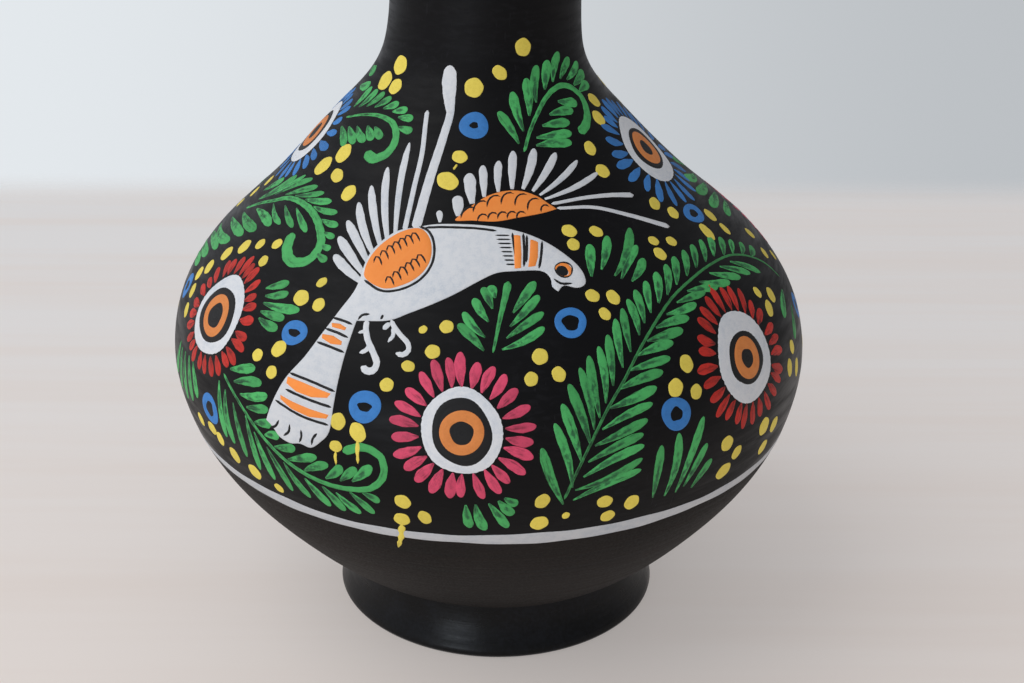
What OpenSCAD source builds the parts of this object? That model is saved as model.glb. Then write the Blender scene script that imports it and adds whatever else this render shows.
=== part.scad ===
// Hand-painted black clay vase: round body on a foot ring, narrow neck and
// rolled lip, with flowers, ferns, dots and two birds painted over the slip.
// Units are millimetres, +Z is up, and the foot ring rests on Z = 0.
// The painted front faces -Y. A place on the wall is [azimuth, height]: the
// azimuth is in degrees from -Y, positive towards +X.

/* [Body] */
// Largest radius of the body.
body_r = 95; // [85:1:105]
// Thickness of the clay wall of the body and neck.
wall = 6; // [4:0.5:8]
// Outer radius of the foot ring where it rests.
foot_r = 51; // [47:0.5:56]
// Width of the foot ring's underside.
foot_w = 8; // [6:0.5:11]
// Height of the bowl's underside above the table.
base_z = 11; // [9:0.5:13]

/* [Neck] */
// Outer radius of the neck at its narrowest.
neck_r = 26.5; // [24:0.5:30]
// Outer radius of the lip.
lip_r = 37; // [34:0.5:42]
// Height of the whole vase.
total_h = 255; // [250:1:262]

/* [Paint] */
// Thickness of one coat of paint.
coat = 0.3; // [0.2:0.05:0.5]
// Height of the white line around the belly.
line_z = 65.5; // [64:0.5:67]
// Width of the white line.
line_w = 3.3; // [2:0.1:4.5]
// Width of a petal of the flowers.
petal_w = 3.3; // [2.5:0.1:3.8]
// Width of a fern leaf.
leaf_w = 2.1; // [1.4:0.1:2.4]
// Width of the thin black drawing lines.
pen_w = 0.5; // [0.4:0.05:0.7]

/* [Hidden] */
mm_per_rad = 180 / PI;
seam_z = 65;           // the two moulded halves of the body meet here
neck_z = 168;          // the neck is joined to the shoulder here
lip_z = total_h - 11;  // the lip is joined to the neck here
round_n = 180;
grow = body_r / 95;

// Outer shape of the wall: [height, radius].
shape = [
    [15, 45.2], [20, 53.5], [30, 64.6], [40, 73.8], [50, 82], [60, 88.3],
    [70, 92.4], [85, 95.1], [100, 92.7], [110, 87.9], [120, 79.9],
    [130, 68.4], [140, 56.6], [150, 47.6], [160, 37.6], [166, 32],
    [173, 28.2], [185, neck_r / grow + 0.3], [210, neck_r / grow],
    [230, neck_r / grow + 1.5], [244, neck_r / grow + 5]];

// Heights between the turned bands of the wall, closer where it curves more.
bands = [15, 20, 26, 32, 38, 44, 50, 57, seam_z, 72, 79, 86, 93, 100, 107, 114,
    121, 128, 136, 146, 156, 163, neck_z, 174, 182, 194, 210, 226, 236, lip_z];

function slope_at(i) =
    i == 0 ? (shape[1][1] - shape[0][1]) / (shape[1][0] - shape[0][0])
    : i == len(shape) - 1
    ? (shape[i][1] - shape[i - 1][1]) / (shape[i][0] - shape[i - 1][0])
    : (shape[i + 1][1] - shape[i - 1][1]) / (shape[i + 1][0] - shape[i - 1][0]);

function cubic(t, h, p, q, m, n) =
    (2 * t ^ 3 - 3 * t ^ 2 + 1) * p + (t ^ 3 - 2 * t ^ 2 + t) * h * m
    + (3 * t ^ 2 - 2 * t ^ 3) * q + (t ^ 3 - t ^ 2) * h * n;

function span(z, i = 0) =
    i >= len(shape) - 2 || z < shape[i + 1][0] ? i : span(z, i + 1);

// Outer radius of the wall at a height, and the cosine of its slope there.
function rad(z) =
    let (i = span(z), h = shape[i + 1][0] - shape[i][0])
    grow * cubic((z - shape[i][0]) / h, h, shape[i][1], shape[i + 1][1],
                 slope_at(i), slope_at(i + 1));
function flat(z) = let (d = rad(z + 0.5) - rad(z - 0.5)) 1 / sqrt(1 + d * d);

// Points of the wall's outer line, moved out by some coats, and of its inner
// line, square to the slope.
function outer_line(z0, z1, n = 0) =
    [for (z = bands) if (z >= z0 && z <= z1) [rad(z) + n * coat, z]];
function inner_line(z0, z1) =
    [for (z = bands) if (z >= z0 && z <= z1)
        let (c = flat(z), d = rad(z + 0.5) - rad(z - 0.5))
        [rad(z) - wall * c, z + wall * c * d]];
function back(v) = [for (i = [len(v) - 1 : -1 : 0]) v[i]];

// ---- clay ----------------------------------------------------------------

module foot_ring() {
    color("#1c1c20") rotate_extrude($fn = round_n) difference() {
        polygon([[foot_r - foot_w, 0], [foot_r - 1.2, 0], [foot_r, 1.2],
                 [rad(15) + 0.6, 15.6], [rad(15) - 7, 15.6],
                 [foot_r - foot_w - 2.5, base_z]]);
        bowl_area(13, 30);
    }
}

// Half section of the lower bowl up to a height, from its flat base.
module bowl_area(r0, top) {
    polygon(concat([[0, base_z], [r0 + 19, base_z]], outer_line(15, top),
                   [[0, top]]));
}

module lower_bowl() {
    color("#2a2524") rotate_extrude($fn = round_n) difference() {
        bowl_area(13, seam_z);
        polygon(concat([[0, base_z + wall], [30, base_z + wall]],
                       inner_line(25, seam_z + 8), [[0, seam_z + 10]]));
    }
}

module upper_bowl() {
    color("#18181b") rotate_extrude($fn = round_n) intersection() {
        polygon(concat(outer_line(seam_z, neck_z),
                       back(inner_line(seam_z - 9, neck_z + 10))));
        translate([0, seam_z]) square([2 * body_r, neck_z - seam_z]);
    }
}

module neck() {
    color("#18181b") rotate_extrude($fn = round_n) intersection() {
        polygon(concat(outer_line(neck_z, lip_z),
                       back(inner_line(neck_z - 10, lip_z))));
        translate([0, neck_z]) square([2 * body_r, lip_z - neck_z]);
    }
}

module lip() {
    top_r = 3.5;
    in_r = rad(lip_z) - wall;
    color("#18181b") rotate_extrude($fn = round_n) union() {
        polygon([[in_r, lip_z], [rad(lip_z), lip_z],
                 [lip_r, total_h - top_r], [lip_r - 2 * top_r, total_h - top_r]]);
        translate([lip_r - top_r, total_h - top_r]) circle(top_r, $fn = 48);
    }
}

// ---- brush strokes -------------------------------------------------------

// A place moved by some millimetres across and up the wall.
function moved(p, s, h) =
    [p[0] + s / rad(p[1]) * mm_per_rad, p[1] + h * flat(p[1])];

// Step from p to q along the wall, in millimetres across and up.
function reach(p, q) =
    let (m = (p[1] + q[1]) / 2)
    [(q[0] - p[0]) * rad(m) / mm_per_rad, (q[1] - p[1]) / flat(m)];

// Half outline of a stroke: [part of its length, part of its width].
drop_form = [[0, 0.1], [0.45, 0.38], [0.85, 0.5], [1, 0.2]];
petal_form = [[0, 0.2], [0.45, 0.48], [0.85, 0.44], [1, 0]];

// Outline of one stroke from p to q, widest near its far end.
function stroke(p, q, w, form = drop_form) =
    let (d = reach(p, q), n = norm(d), u = [-d[1] / n, d[0] / n])
    concat([for (f = form)
                moved(p + (q - p) * f[0], u[0] * f[1] * w, u[1] * f[1] * w)],
           [for (f = back(form)) if (f[1] > 0)
                moved(p + (q - p) * f[0], -u[0] * f[1] * w, -u[1] * f[1] * w)]);

// Outline of a ribbon along a line of places, from width w0 to width w1.
function side(v, w0, w1, sgn) =
    [for (i = [0 : len(v) - 1])
        let (d = reach(v[max(i - 1, 0)], v[min(i + 1, len(v) - 1)]), n = norm(d),
             w = sgn / 2 * (w0 + (w1 - w0) * i / (len(v) - 1)))
        moved(v[i], -d[1] / n * w, d[0] / n * w)];
function ribbon(v, w0, w1) = concat(side(v, w0, w1, 1), back(side(v, w0, w1, -1)));

// A line of places with one rounded place added between each two.
function eased(v) =
    [for (i = [0 : 2 * len(v) - 2])
        let (k = floor(i / 2), a = v[max(k - 1, 0)], b = v[k],
             c = v[min(k + 1, len(v) - 1)], d = v[min(k + 2, len(v) - 1)])
        i % 2 == 0 ? b : (b + c) * 9 / 16 - (a + d) / 16];

function oval(p, rx, rz, n = 10, turn = 0) =
    [for (i = [0 : n - 1])
        let (t = i * 360 / n, x = rx * cos(t), y = rz * sin(t))
        moved(p, x * cos(turn) - y * sin(turn), x * sin(turn) + y * cos(turn))];

function low(v) = min([for (p = v) p[1]]);
function high(v) = max([for (p = v) p[1]]);
function middle(v) = (min([for (p = v) p[0]]) + max([for (p = v) p[0]])) / 2;

// The wall's outer face as a shell, one coat thick, after n coats.
module coat_shell(z0, z1, n = 0) {
    a = max([for (z = bands) if (z <= z0) z]);
    b = min([for (z = bands) if (z >= z1) z]);
    rotate_extrude($fn = round_n)
        polygon(concat(outer_line(a, b, n + 1), back(outer_line(a, b, n))));
}

// A prism through the wall's face, with the outline of places v.
module cutter(v) {
    a = middle(v);
    near = max([for (p = v) rad(p[1])]) + 3;
    far = min([for (p = v) rad(p[1]) * cos(p[0] - a)]) - 3;
    rotate(a) translate([0, -far, 0]) rotate([90, 0, 0])
        linear_extrude(near - far)
            polygon([for (p = v) [rad(p[1]) * sin(p[0] - a), p[1]]]);
}

// Painted shapes: a list of outlines laid on the wall after n coats.
module painted(shapes, n = 0) {
    intersection() {
        coat_shell(min([for (v = shapes) low(v)]), max([for (v = shapes) high(v)]), n);
        for (v = shapes) cutter(v);
    }
}

// The back of the vase repeats the front, turned over left to right.
module twice() {
    children();
    mirror([0, 1, 0]) children();
}

// ---- flowers and belly line ----------------------------------------------

module belly_line() {
    color("#c9d0da") rotate_extrude($fn = round_n) intersection() {
        polygon(concat(outer_line(57, 72, 1), back(outer_line(57, 72))));
        translate([0, line_z - line_w / 2]) square([2 * body_r, line_w]);
    }
}

// Flowers: place, disc radius, pupil radii, ring radii, petal reach, petals.
pink_front = [[-3.7, 97.5], 10.7, [7.5, 8.7], [5.7, 2.8], 18.9, 26];
red_left = [[-56.3, 110.3], 11.7, [8.8, 8.2], [6.2, 3.4], 18.3, 27];
red_right = [[49.7, 102.8], 12.4, [8.1, 7.1], [5.8, 2.4], 20, 27];
blue_left = [[-84, 150], 11.2, [7.6, 7.8], [6, 2.8], 18, 24];
blue_right = [[71.5, 148.3], 11.4, [8.3, 7], [5.9, 2.4], 19.5, 25];
pink_right = [[105, 117], 10.8, [7.6, 8], [5.6, 2.6], 18, 26];
pink_left = [[-102.5, 109], 8, [5.8, 5.8], [4.2, 2], 13, 20];

function over(f) = [[180 - f[0][0], f[0][1]], f[1], f[2], f[3], f[4], f[5]];
pink_flowers = [pink_front, pink_right, pink_left];
red_flowers = [red_left, red_right, over(red_left), over(red_right), over(pink_front)];
blue_flowers = [blue_left, blue_right];
all_flowers = concat(pink_flowers, red_flowers, blue_flowers);

function petals(f) =
    [for (i = [0 : f[5] - 1])
        let (t = 360 * (i + 0.5) / f[5], r = f[4] - 0.7 * (i % 3))
        stroke(moved(f[0], (f[1] + 0.5) * cos(t), (f[1] + 0.5) * sin(t)),
               moved(f[0], r * cos(t), r * sin(t)), petal_w, petal_form)];

module flower_petals(flowers) { for (f = flowers) painted(petals(f)); }

module petals_pink() { color("#d8436c") flower_petals(pink_flowers); }
module petals_red() { color("#b92c2a") flower_petals(red_flowers); }
module petals_blue() { color("#2f74b8") flower_petals(blue_flowers); }
module flower_discs() {
    color("#ccd3dc") for (f = all_flowers) painted([oval(f[0], f[1], f[1], 20)]);
}
module flower_pupils() {
    color("#141416")
        for (f = all_flowers) painted([oval(f[0], f[2][0], f[2][1], 18)], 1);
}
module flower_rings() {
    color("#dc8233") for (f = all_flowers) difference() {
        painted([oval(f[0], f[3][0], f[3][0], 16)], 2);
        cutter(oval(f[0], f[3][1], f[3][1], 8));
    }
}

// Blue rings: place, radii across and up, radii of the black hole.
rings_front = [
    [[-35, 114.2], [4, 3.6], [1.8, 0.9]], [[-52.7, 86.7], [4.4, 4.7], [1.9, 2.1]],
    [[-19.1, 101.6], [4.4, 4.3], [1.8, 1]], [[-2.3, 160.2], [3.9, 4.4], [1, 0.8]],
    [[16, 120], [4.3, 4.2], [2.1, 2]], [[31.3, 96.3], [4.8, 4.5], [1.8, 1.7]],
    [[64.8, 133], [5, 3.4], [1.9, 1.2]]];
rings_sides = [[[-77, 108], [4.2, 4.2], [1.8, 1.4]], [[80, 101], [4.4, 4.2], [1.9, 1.6]],
    [[-103, 84], [4.2, 4.4], [1.8, 1.6]]];
module ring_shapes(list) {
    for (g = list) difference() {
        painted([oval(g[0], g[1][0], g[1][1], 12)]);
        cutter(oval(g[0], g[2][0], g[2][1], 8));
    }
}
module blue_rings() {
    color("#3579c4") {
        twice() ring_shapes(rings_front);
        ring_shapes(rings_sides);
    }
}

// ---- yellow dots ---------------------------------------------------------

// Dots: azimuth, height, radius.
dots_shared = [
    [-34, 125, 1.5], [-36.8, 121.2, 2.4], [-32.3, 120.8, 1.9], [-37, 110, 2.3],
    [-41.2, 107, 1.8], [-37.2, 104.4, 1.8], [-23.4, 97, 2.2], [-20, 95.2, 2.4],
    [-23.7, 90.5, 1.7], [-6.6, 119.9, 1.8], [-10.8, 119.1, 1.1], [-8.7, 114.9, 1.9],
    [-12.6, 111.6, 1.6], [-15.8, 107.2, 1.8], [-40, 142.8, 2.4], [-3.8, 168.7, 2.7],
    [9.3, 172.3, 2], [-6.6, 153.4, 2], [-9.7, 148.2, 2.8], [22.5, 137.1, 2],
    [22.2, 134.4, 1.8], [29.5, 136.2, 1.8], [42, 153, 2.1], [41.8, 147.8, 2.2],
    [53, 138.3, 2.1], [57, 135.2, 2.1], [43.5, 131.9, 1.6], [42.7, 129.3, 2],
    [48.5, 130.7, 1.7], [22.6, 178.5, 2.4], [21.9, 124.5, 1.9], [26, 123.6, 2],
    [23, 120.8, 1.7], [9.4, 113.9, 2.1], [7.5, 109.4, 1.8], [12.1, 110, 1.9],
    [35.4, 107.2, 2.3], [32, 102.6, 2.4], [35.9, 100.2, 2], [42, 83, 2.4],
    [45, 78.4, 2.1], [42.3, 74, 2.7], [53, 81.4, 2.8], [57.3, 79, 2.4],
    [54.6, 73.5, 2.4], [8.2, 78.6, 2.1], [7.8, 71.4, 2.4], [12, 73.2, 1.1],
    [18.3, 76, 2.1], [19.1, 70.9, 2], [23.1, 74, 2.3], [-57.7, 127.2, 1.8],
    [-52.4, 124.9, 1.8], [-52.3, 128.8, 1.8], [-58, 79.8, 2], [-53.3, 80.2, 2.2],
    [-51, 78.4, 2.1], [-47.3, 75.6, 2.4], [-42.4, 73.4, 2.5], [-37, 71.4, 1.6],
    [-51, 172, 2.7], [-57.5, 167.4, 2.8], [-47.7, 166.8, 2.3], [-51.7, 150.2, 2.9],
    [-57.3, 146.2, 3], [-48.2, 145.5, 2.3], [-13.3, 77.5, 2.2], [-13.9, 71.5, 2.2],
    [-10.1, 73, 2]];
dots_sides = [
    [-62.5, 125, 2.4], [-67, 121.6, 2.4], [-70.2, 116.7, 2.4], [-73.3, 113.4, 2.3],
    [-71.3, 109.6, 2.2], [-69.8, 104.9, 2.1], [62.4, 114, 1.7], [63.2, 109.4, 2.3],
    [67, 111.2, 2.3], [64.2, 92, 2.4], [67.2, 96.3, 2.1], [68.7, 89.2, 2.4],
    [56, 158.5, 2.4], [61.5, 162.3, 2.3], [62.8, 129, 2.6], [71.2, 130.6, 2.3],
    [71.2, 127, 1.9], [81.8, 121.6, 2.1], [79.3, 117, 1.9], [85, 113.6, 1.7],
    [82, 88, 2.3], [86.5, 84.5, 2.1], [84.5, 79, 2.3], [104, 99.5, 2.3], [108.5, 96, 2.1], [103, 94, 1.8],
    [-84.5, 97, 2.2], [-88.5, 92, 2], [-82, 90.5, 2.3], [-110, 92, 2.3],
    [-114, 97, 2], [-85.6, 135, 2], [-88.8, 130.6, 2.1], [-92.4, 125.8, 2],
    [112, 146, 2.3], [107, 150.5, 2.1], [104, 156, 2.4], [96, 163, 2.3]];
function dot_shapes(list) = [for (d = list) oval([d[0], d[1]], d[2], d[2], 8)];

module dots_front() {
    color("#e3cf52") painted(dot_shapes(concat(dots_shared, dots_sides)));
}
module dots_back() {
    color("#e3cf52") painted(dot_shapes([for (d = dots_shared) [180 - d[0], d[1], d[2]]]));
}

// Yellow paint that ran down from wet dots, and one thread between two dots.
module paint_drips() {
    color("#d6c24c") painted([
        ribbon([[-14.1, 69.6], [-14.6, 65.5], [-15.9, 60]], 1.8, 0.6),
        ribbon([[-20, 93.1], [-20, 87]], 1.3, 0.5),
        ribbon([[-23.7, 89.1], [-23.8, 85.4]], 1, 0.4),
        ribbon([[-8.1, 150.6], [-7.3, 151.8]], 0.7, 0.7)]);
}

// ---- ferns ---------------------------------------------------------------

// Leaves from places on the stem to their round tips.
function leaves(list, w = leaf_w) = [for (f = list) stroke(f[0], f[1], w)];

module fern(stem, w0, w1, list, w = leaf_w) {
    painted(concat([ribbon(eased(stem), w0, w1)], leaves(list, w)));
}

module fern_upper_left() {
    color("#3f9c55") twice() fern(
        [[-66, 157], [-56, 159], [-45, 159.8], [-37, 158.8], [-32.5, 155.8],
         [-33, 152.8], [-37.5, 150.9], [-42, 151.8]], 0.8, 3.6,
        [[[-67, 159.5], [-65.5, 165]], [[-63, 160], [-59, 165]],
         [[-58, 160.8], [-52.5, 164.9]], [[-52.5, 161.2], [-46, 164.2]],
         [[-47, 161.5], [-39.8, 163.3]], [[-41, 161.3], [-33.6, 162.3]],
         [[-36.5, 160.4], [-29, 160.5]], [[-34, 158.4], [-27, 158]],
         [[-64, 155], [-53.6, 151.6]], [[-59.5, 155.6], [-49.6, 152.8]],
         [[-54.5, 156.4], [-45.2, 153.8]], [[-49, 157.2], [-42.2, 154.6]],
         [[-45, 157.4], [-38.7, 155.3]]], 2.3);
}

module fern_middle_left() {
    color("#3f9c55") twice() fern(
        [[-80, 129], [-74, 132.4], [-68, 134.9], [-63, 136.9], [-56, 137.7],
         [-49, 137], [-43, 134.6], [-39.6, 131.4], [-40.2, 128.4],
         [-44.5, 127], [-48, 128.6], [-50.3, 131.8]], 1.2, 4,
        [[[-74.8, 134], [-62.4, 142.8]], [[-70.6, 135.6], [-57.6, 142.9]],
         [[-65, 137.2], [-53, 142]], [[-60, 138.2], [-48.8, 141.3]],
         [[-54.5, 138.6], [-44.2, 140.2]], [[-49.6, 138], [-40.2, 138.4]],
         [[-44, 136.2], [-37.8, 136]], [[-41, 134], [-37, 133.6]],
         [[-39.6, 131.6], [-36.3, 131.4]], [[-39.4, 130], [-35.6, 129]],
         [[-67, 134.4], [-56.6, 132.2]], [[-61, 135.6], [-51.4, 132.8]],
         [[-55.5, 136.3], [-46, 133]]]);
}

module fern_left_edge() {
    color("#3c9452") painted(concat(leaves([
        [[-73, 131.2], [-59.8, 131]], [[-78.6, 128.2], [-63.8, 128.6]],
        [[-83.2, 125], [-67.4, 126.2]], [[-88, 121], [-70.6, 123.4]],
        [[-90.5, 117.5], [-73.6, 120.2]], [[-91.6, 114.4], [-76.6, 117]],
        [[-90.6, 111], [-78.4, 113.6]],
        [[-81, 133.6], [-73.4, 139]], [[-78, 132.2], [-67, 141.6]],
        [[-86, 168], [-74, 168]], [[-80, 163.6], [-68.5, 165]]], 3)));
}

module fern_lower_left() {
    color("#47a95c") twice() fern(
        [[-48.5, 99], [-43, 93], [-38, 87], [-33, 82], [-28, 79.3],
         [-22, 78.8], [-18, 80.6], [-15.9, 85], [-16.2, 89.6],
         [-18.8, 91.6], [-22.5, 89.5]], 1, 2.2,
        [[[-47, 101], [-40.9, 104]], [[-45.5, 98.4], [-38.8, 101]],
         [[-43.6, 96], [-37.2, 98.6]], [[-41.8, 93.4], [-36.8, 95.2]],
         [[-39.8, 90.2], [-36, 91.6]], [[-37.6, 87.7], [-34.4, 89]],
         [[-35.6, 85.4], [-31.2, 87.2]], [[-33, 82.9], [-27.2, 86.4]],
         [[-30, 81], [-25.2, 85]], [[-26, 80.5], [-22.8, 85.4]],
         [[-23.4, 80.8], [-20.3, 85.6]], [[-21.3, 81.4], [-17.8, 87]],
         [[-49.6, 96.6], [-48.2, 80.8]], [[-47.6, 95.2], [-46, 80.2]],
         [[-45.3, 92.8], [-43.2, 77.8]], [[-42, 91], [-40.4, 75.4]],
         [[-40, 87.4], [-37.3, 74]], [[-37.4, 84.4], [-33.7, 72.4]],
         [[-34, 81.6], [-30, 72.2]], [[-30.2, 78.6], [-26.3, 71.2]],
         [[-27, 77.6], [-23.7, 70.8]], [[-24.6, 76.6], [-20.8, 71.2]],
         [[-22, 77.8], [-18.4, 72]], [[-19.8, 78.4], [-17.1, 76.3]]], 2.3);
}

module fern_upper_right() {
    color("#409c52") twice() fern(
        [[16, 154.2], [20, 158.4], [26, 162.4], [32, 165.3], [38, 167],
         [44, 167.6], [50, 166.6], [53.8, 164], [52, 161], [47, 158.2],
         [41.2, 156.6]], 1, 2.8,
        [[[14.8, 156], [8, 163.2]], [[17.5, 158.6], [15.5, 167.6]],
         [[21.5, 161.8], [23.5, 170.6]], [[26.5, 164.6], [31, 173.5]],
         [[33, 167.3], [38.6, 174.4]], [[39, 168.8], [47.2, 176]],
         [[44.5, 169.2], [56, 173.8]], [[49, 168.6], [64, 172]],
         [[52.5, 167], [67, 169.4]], [[54.5, 165.2], [66, 166.2]],
         [[21, 155.3], [35.6, 155]], [[22, 157], [37.6, 157.1]],
         [[26, 159.4], [39.2, 159.4]], [[31, 161.6], [44.2, 161.7]],
         [[38, 164.2], [48.8, 163.2]]], 2.8);
}

module fern_large_right() {
    upper = [[[11.1, 79], [8.3, 93.5]], [[12.6, 84], [10.5, 99.3]],
        [[14, 91], [12, 103.6]], [[15.6, 95], [13.5, 107.8]],
        [[16.6, 98.4], [15.8, 111]], [[17.8, 101], [17.8, 113.2]],
        [[19.2, 104], [19.9, 114.8]], [[21, 107.4], [22.2, 116.8]],
        [[23.4, 110.8], [24.7, 119.6]], [[25.6, 113.6], [26.9, 121.3]],
        [[28.2, 116.4], [28.8, 122.8]], [[30.2, 118.4], [31.4, 124.2]],
        [[32.6, 120], [34.9, 125.3]], [[35.4, 121.4], [38.6, 126.4]],
        [[38.4, 122.4], [42.3, 127.2]], [[42, 123.6], [46, 128]],
        [[46, 124.4], [50, 128.4]], [[50, 125], [54, 128.6]],
        [[54, 125.2], [58, 128.6]], [[58, 125.2], [62.5, 128]],
        [[62, 124.8], [67.5, 126.4]]];
    lower = [[[13, 78], [24.3, 83.8]], [[13.3, 81], [24.5, 87]],
        [[14.6, 84.6], [24.9, 90.4]], [[15.4, 88.6], [24.9, 93.4]],
        [[16.6, 92.6], [25.9, 96.8]], [[18, 96.4], [27.2, 100.4]],
        [[19.7, 101.2], [28.5, 103.9]], [[21.7, 105.2], [30.4, 107]],
        [[24.2, 108.8], [32.6, 109.5]], [[26.6, 111.6], [34.3, 112.5]],
        [[29.2, 114], [37.4, 114.4]], [[32, 116.2], [40, 116.3]],
        [[35.4, 118.2], [43.4, 118.4]], [[39, 119.8], [47.4, 119.9]],
        [[43, 121.2], [51.6, 119.7]], [[47.5, 122], [56, 119.3]],
        [[52, 122.6], [60.4, 118.8]], [[56.5, 122.7], [64.8, 118]],
        [[61, 122.3], [69, 116.4]]];
    color("#45a85a") twice() fern(
        [[11.6, 78.6], [13.5, 86], [16, 93.4], [19.2, 101], [23, 107],
         [27.2, 112.6], [32, 117], [38, 120.7], [46, 123], [55, 123.9],
         [64, 123], [74, 120]], 0.8, 0.8, concat(upper, lower));
}

module fern_under_bird() {
    color("#42a558") twice() fern(
        [[1.5, 115], [3, 121.2], [5.4, 128.4]], 0.8, 2.4,
        [[[0, 115.4], [-4.6, 120.5]], [[0.3, 118], [-3.7, 122.8]],
         [[1, 121], [-1.7, 125.4]], [[1.8, 123.4], [0, 127.4]],
         [[2.5, 125.4], [1.8, 127.8]], [[3.1, 115.6], [11, 119.6]],
         [[4, 117.8], [11.4, 122.4]], [[4.8, 120], [11.2, 125.6]],
         [[5.6, 122.6], [11, 128.2]]], 2.4);
}

// Small groups of leaves with no stem.
module leaf_fans() {
    fans_front = [
        [[-46.5, 120.6], [-41.5, 123.2]], [[-45.5, 119.2], [-40.2, 121.3]],
        [[-45, 117.8], [-35.8, 118.8]], [[-44.6, 116], [-38.3, 116.3]],
        [[-44.2, 114.6], [-38.8, 113.9]],
        [[27, 73.8], [28, 89.3]], [[29.3, 73.2], [31.4, 91.3]],
        [[31.5, 73.3], [36.7, 93.5]], [[33, 74.4], [37.2, 85.8]],
        [[34.8, 73], [38.5, 80.4]],
        [[-3.5, 78], [-3.1, 70.3]], [[-2, 78.2], [-0.7, 69.5]],
        [[0, 78.6], [2.8, 70.3]], [[1.5, 79.4], [3.7, 74.7]],
        [[2.4, 80.2], [4.4, 78]],
        [[23.3, 128], [26.4, 134]], [[26.2, 129], [31.9, 135]],
        [[28.5, 127.4], [39.4, 135.5]], [[29.6, 126.6], [38.2, 132]],
        [[31.6, 125.8], [37.7, 129.4]]];
    fans_sides = [
        [[-60, 96], [-57.6, 86.6]], [[-62, 96.4], [-60.4, 83.8]],
        [[-64.2, 96.2], [-64, 82]], [[-66.4, 96], [-68, 82.6]],
        [[-68, 97], [-72, 85]],
        [[74, 109], [67.6, 104.6]], [[75, 104], [70, 97]],
        [[90, 74], [84, 90]], [[92, 73.4], [89.5, 95]], [[94, 73.2], [95, 98]],
        [[96, 73.4], [100.5, 94]], [[98, 74], [105, 88]],
        [[-92, 74], [-98, 90]], [[-90.5, 73.6], [-93, 94]],
        [[-89, 74], [-88, 89]], [[-87.5, 74.6], [-83, 84]],
        [[95, 134.5], [80.5, 138]], [[94, 132], [77.5, 134.6]],
        [[92.5, 129.6], [76.5, 131.2]], [[92, 127.2], [80, 127.6]],
        [[97, 136.6], [88, 141.4]]];
    color("#43a457") {
        twice() painted(leaves(fans_front, 2.5));
        painted(leaves(fans_sides, 2.8));
    }
}

// ---- birds ---------------------------------------------------------------

body_outline = [
    [-16, 138.4], [-11, 139.3], [-3, 139.5], [4, 139], [9, 138.1], [13, 136.8],
    [16.5, 135], [19.3, 132.8], [21.2, 130.6], [21.9, 128.6], [21.4, 126.8],
    [19.4, 126.2], [16.8, 126.9], [15.2, 125.9], [14.2, 127], [14.3, 128.6],
    [12.6, 130], [7, 130.2], [3, 129.9], [-1, 128.3], [-6, 125.7],
    [-10.5, 123.5], [-14, 121.8], [-17.5, 120.1], [-23.4, 119.2], [-23.9, 111],
    [-24.3, 101], [-24.8, 94], [-26.4, 90.6], [-28.2, 88.4], [-30.2, 88.7],
    [-32.2, 88], [-34.4, 88.9], [-35.6, 90.7], [-37.2, 92.2], [-36.2, 97],
    [-34.2, 104], [-31.4, 110], [-29.6, 115], [-27.6, 120.6], [-26, 125.4],
    [-26.2, 131], [-24.6, 134.4], [-21, 137.2]];

module bird_body() { color("#d5dbe4") twice() painted([body_outline]); }

module bird_near_feathers() {
    color("#d8dee8") twice() painted(concat(
        [for (f = [
            [[-25.6, 126.8], [-34.6, 130.5], 2.9], [[-26.4, 128.6], [-36, 134], 2.9],
            [[-26.2, 130.8], [-36, 137.4], 2.7], [[-25.6, 132.6], [-35.2, 141.5], 2.6],
            [[-24.6, 134.4], [-33.6, 145.4], 2.4], [[-23.2, 135.8], [-30.7, 149.8], 2.4],
            [[-21.4, 137], [-26.2, 155.6], 2], [[-13.5, 163.5], [-18.3, 173.8], 4.4]])
            stroke(f[0], f[1], f[2])],
        [ribbon(eased([[-19.2, 138], [-19.6, 146], [-20.2, 154], [-24, 162.8]]), 1.6, 1.4),
         ribbon(eased([[-16.4, 138.6], [-15.4, 148], [-13.7, 158], [-13.2, 163],
                       [-14.6, 167]]), 3, 2.2)]));
}

module bird_far_feathers() {
    color("#d5dbe4") twice() painted(concat(
        [for (f = [
            [[-10.4, 139.6], [-11, 142], 1.9], [[-5.8, 141], [-6.4, 145.2], 3.4],
            [[-2, 143.6], [-3, 150], 3.6], [[1.4, 145], [1.3, 151.7], 2.5],
            [[5.6, 146], [6.8, 152.6], 2.4], [[9.8, 146.5], [12.2, 154.6], 2.6],
            [[13, 146.4], [20, 154.8], 2.7], [[15.8, 145.8], [27.6, 153.4], 2.4],
            [[17.6, 144.9], [34.5, 151.1], 1.9], [[18.8, 144], [40, 147.8], 1.8]])
            stroke(f[0], f[1], f[2])],
        [ribbon(eased([[20.2, 142.9], [31, 143.2], [40, 142.6], [47.5, 141.4]]), 1, 1.8),
         ribbon(eased([[21.4, 141.9], [32, 141], [42, 137.7], [51.6, 133.3]]), 1, 2)]));
}

module bird_shoulder_patch() {
    color("#f28a2e") twice() painted([[
        [-25.7, 129], [-24.6, 127.2], [-20, 125.9], [-16, 127.1], [-13.2, 129],
        [-11.6, 131.4], [-11.4, 134], [-12.4, 136.4], [-14.6, 138], [-17.4, 138],
        [-21, 136.6], [-24, 134.2], [-25.5, 131.6]]], 1);
}

module bird_wing_patch() {
    color("#f28a2e") twice() painted([[
        [-6.6, 140.1], [-4, 142.2], [-1, 143.9], [3, 145.5], [8, 146.3],
        [13, 146], [17, 144.7], [19.6, 143], [21.6, 141.7], [17, 141.1],
        [10, 140.5], [4, 139.9], [-2, 140.1]]]);
}

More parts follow.
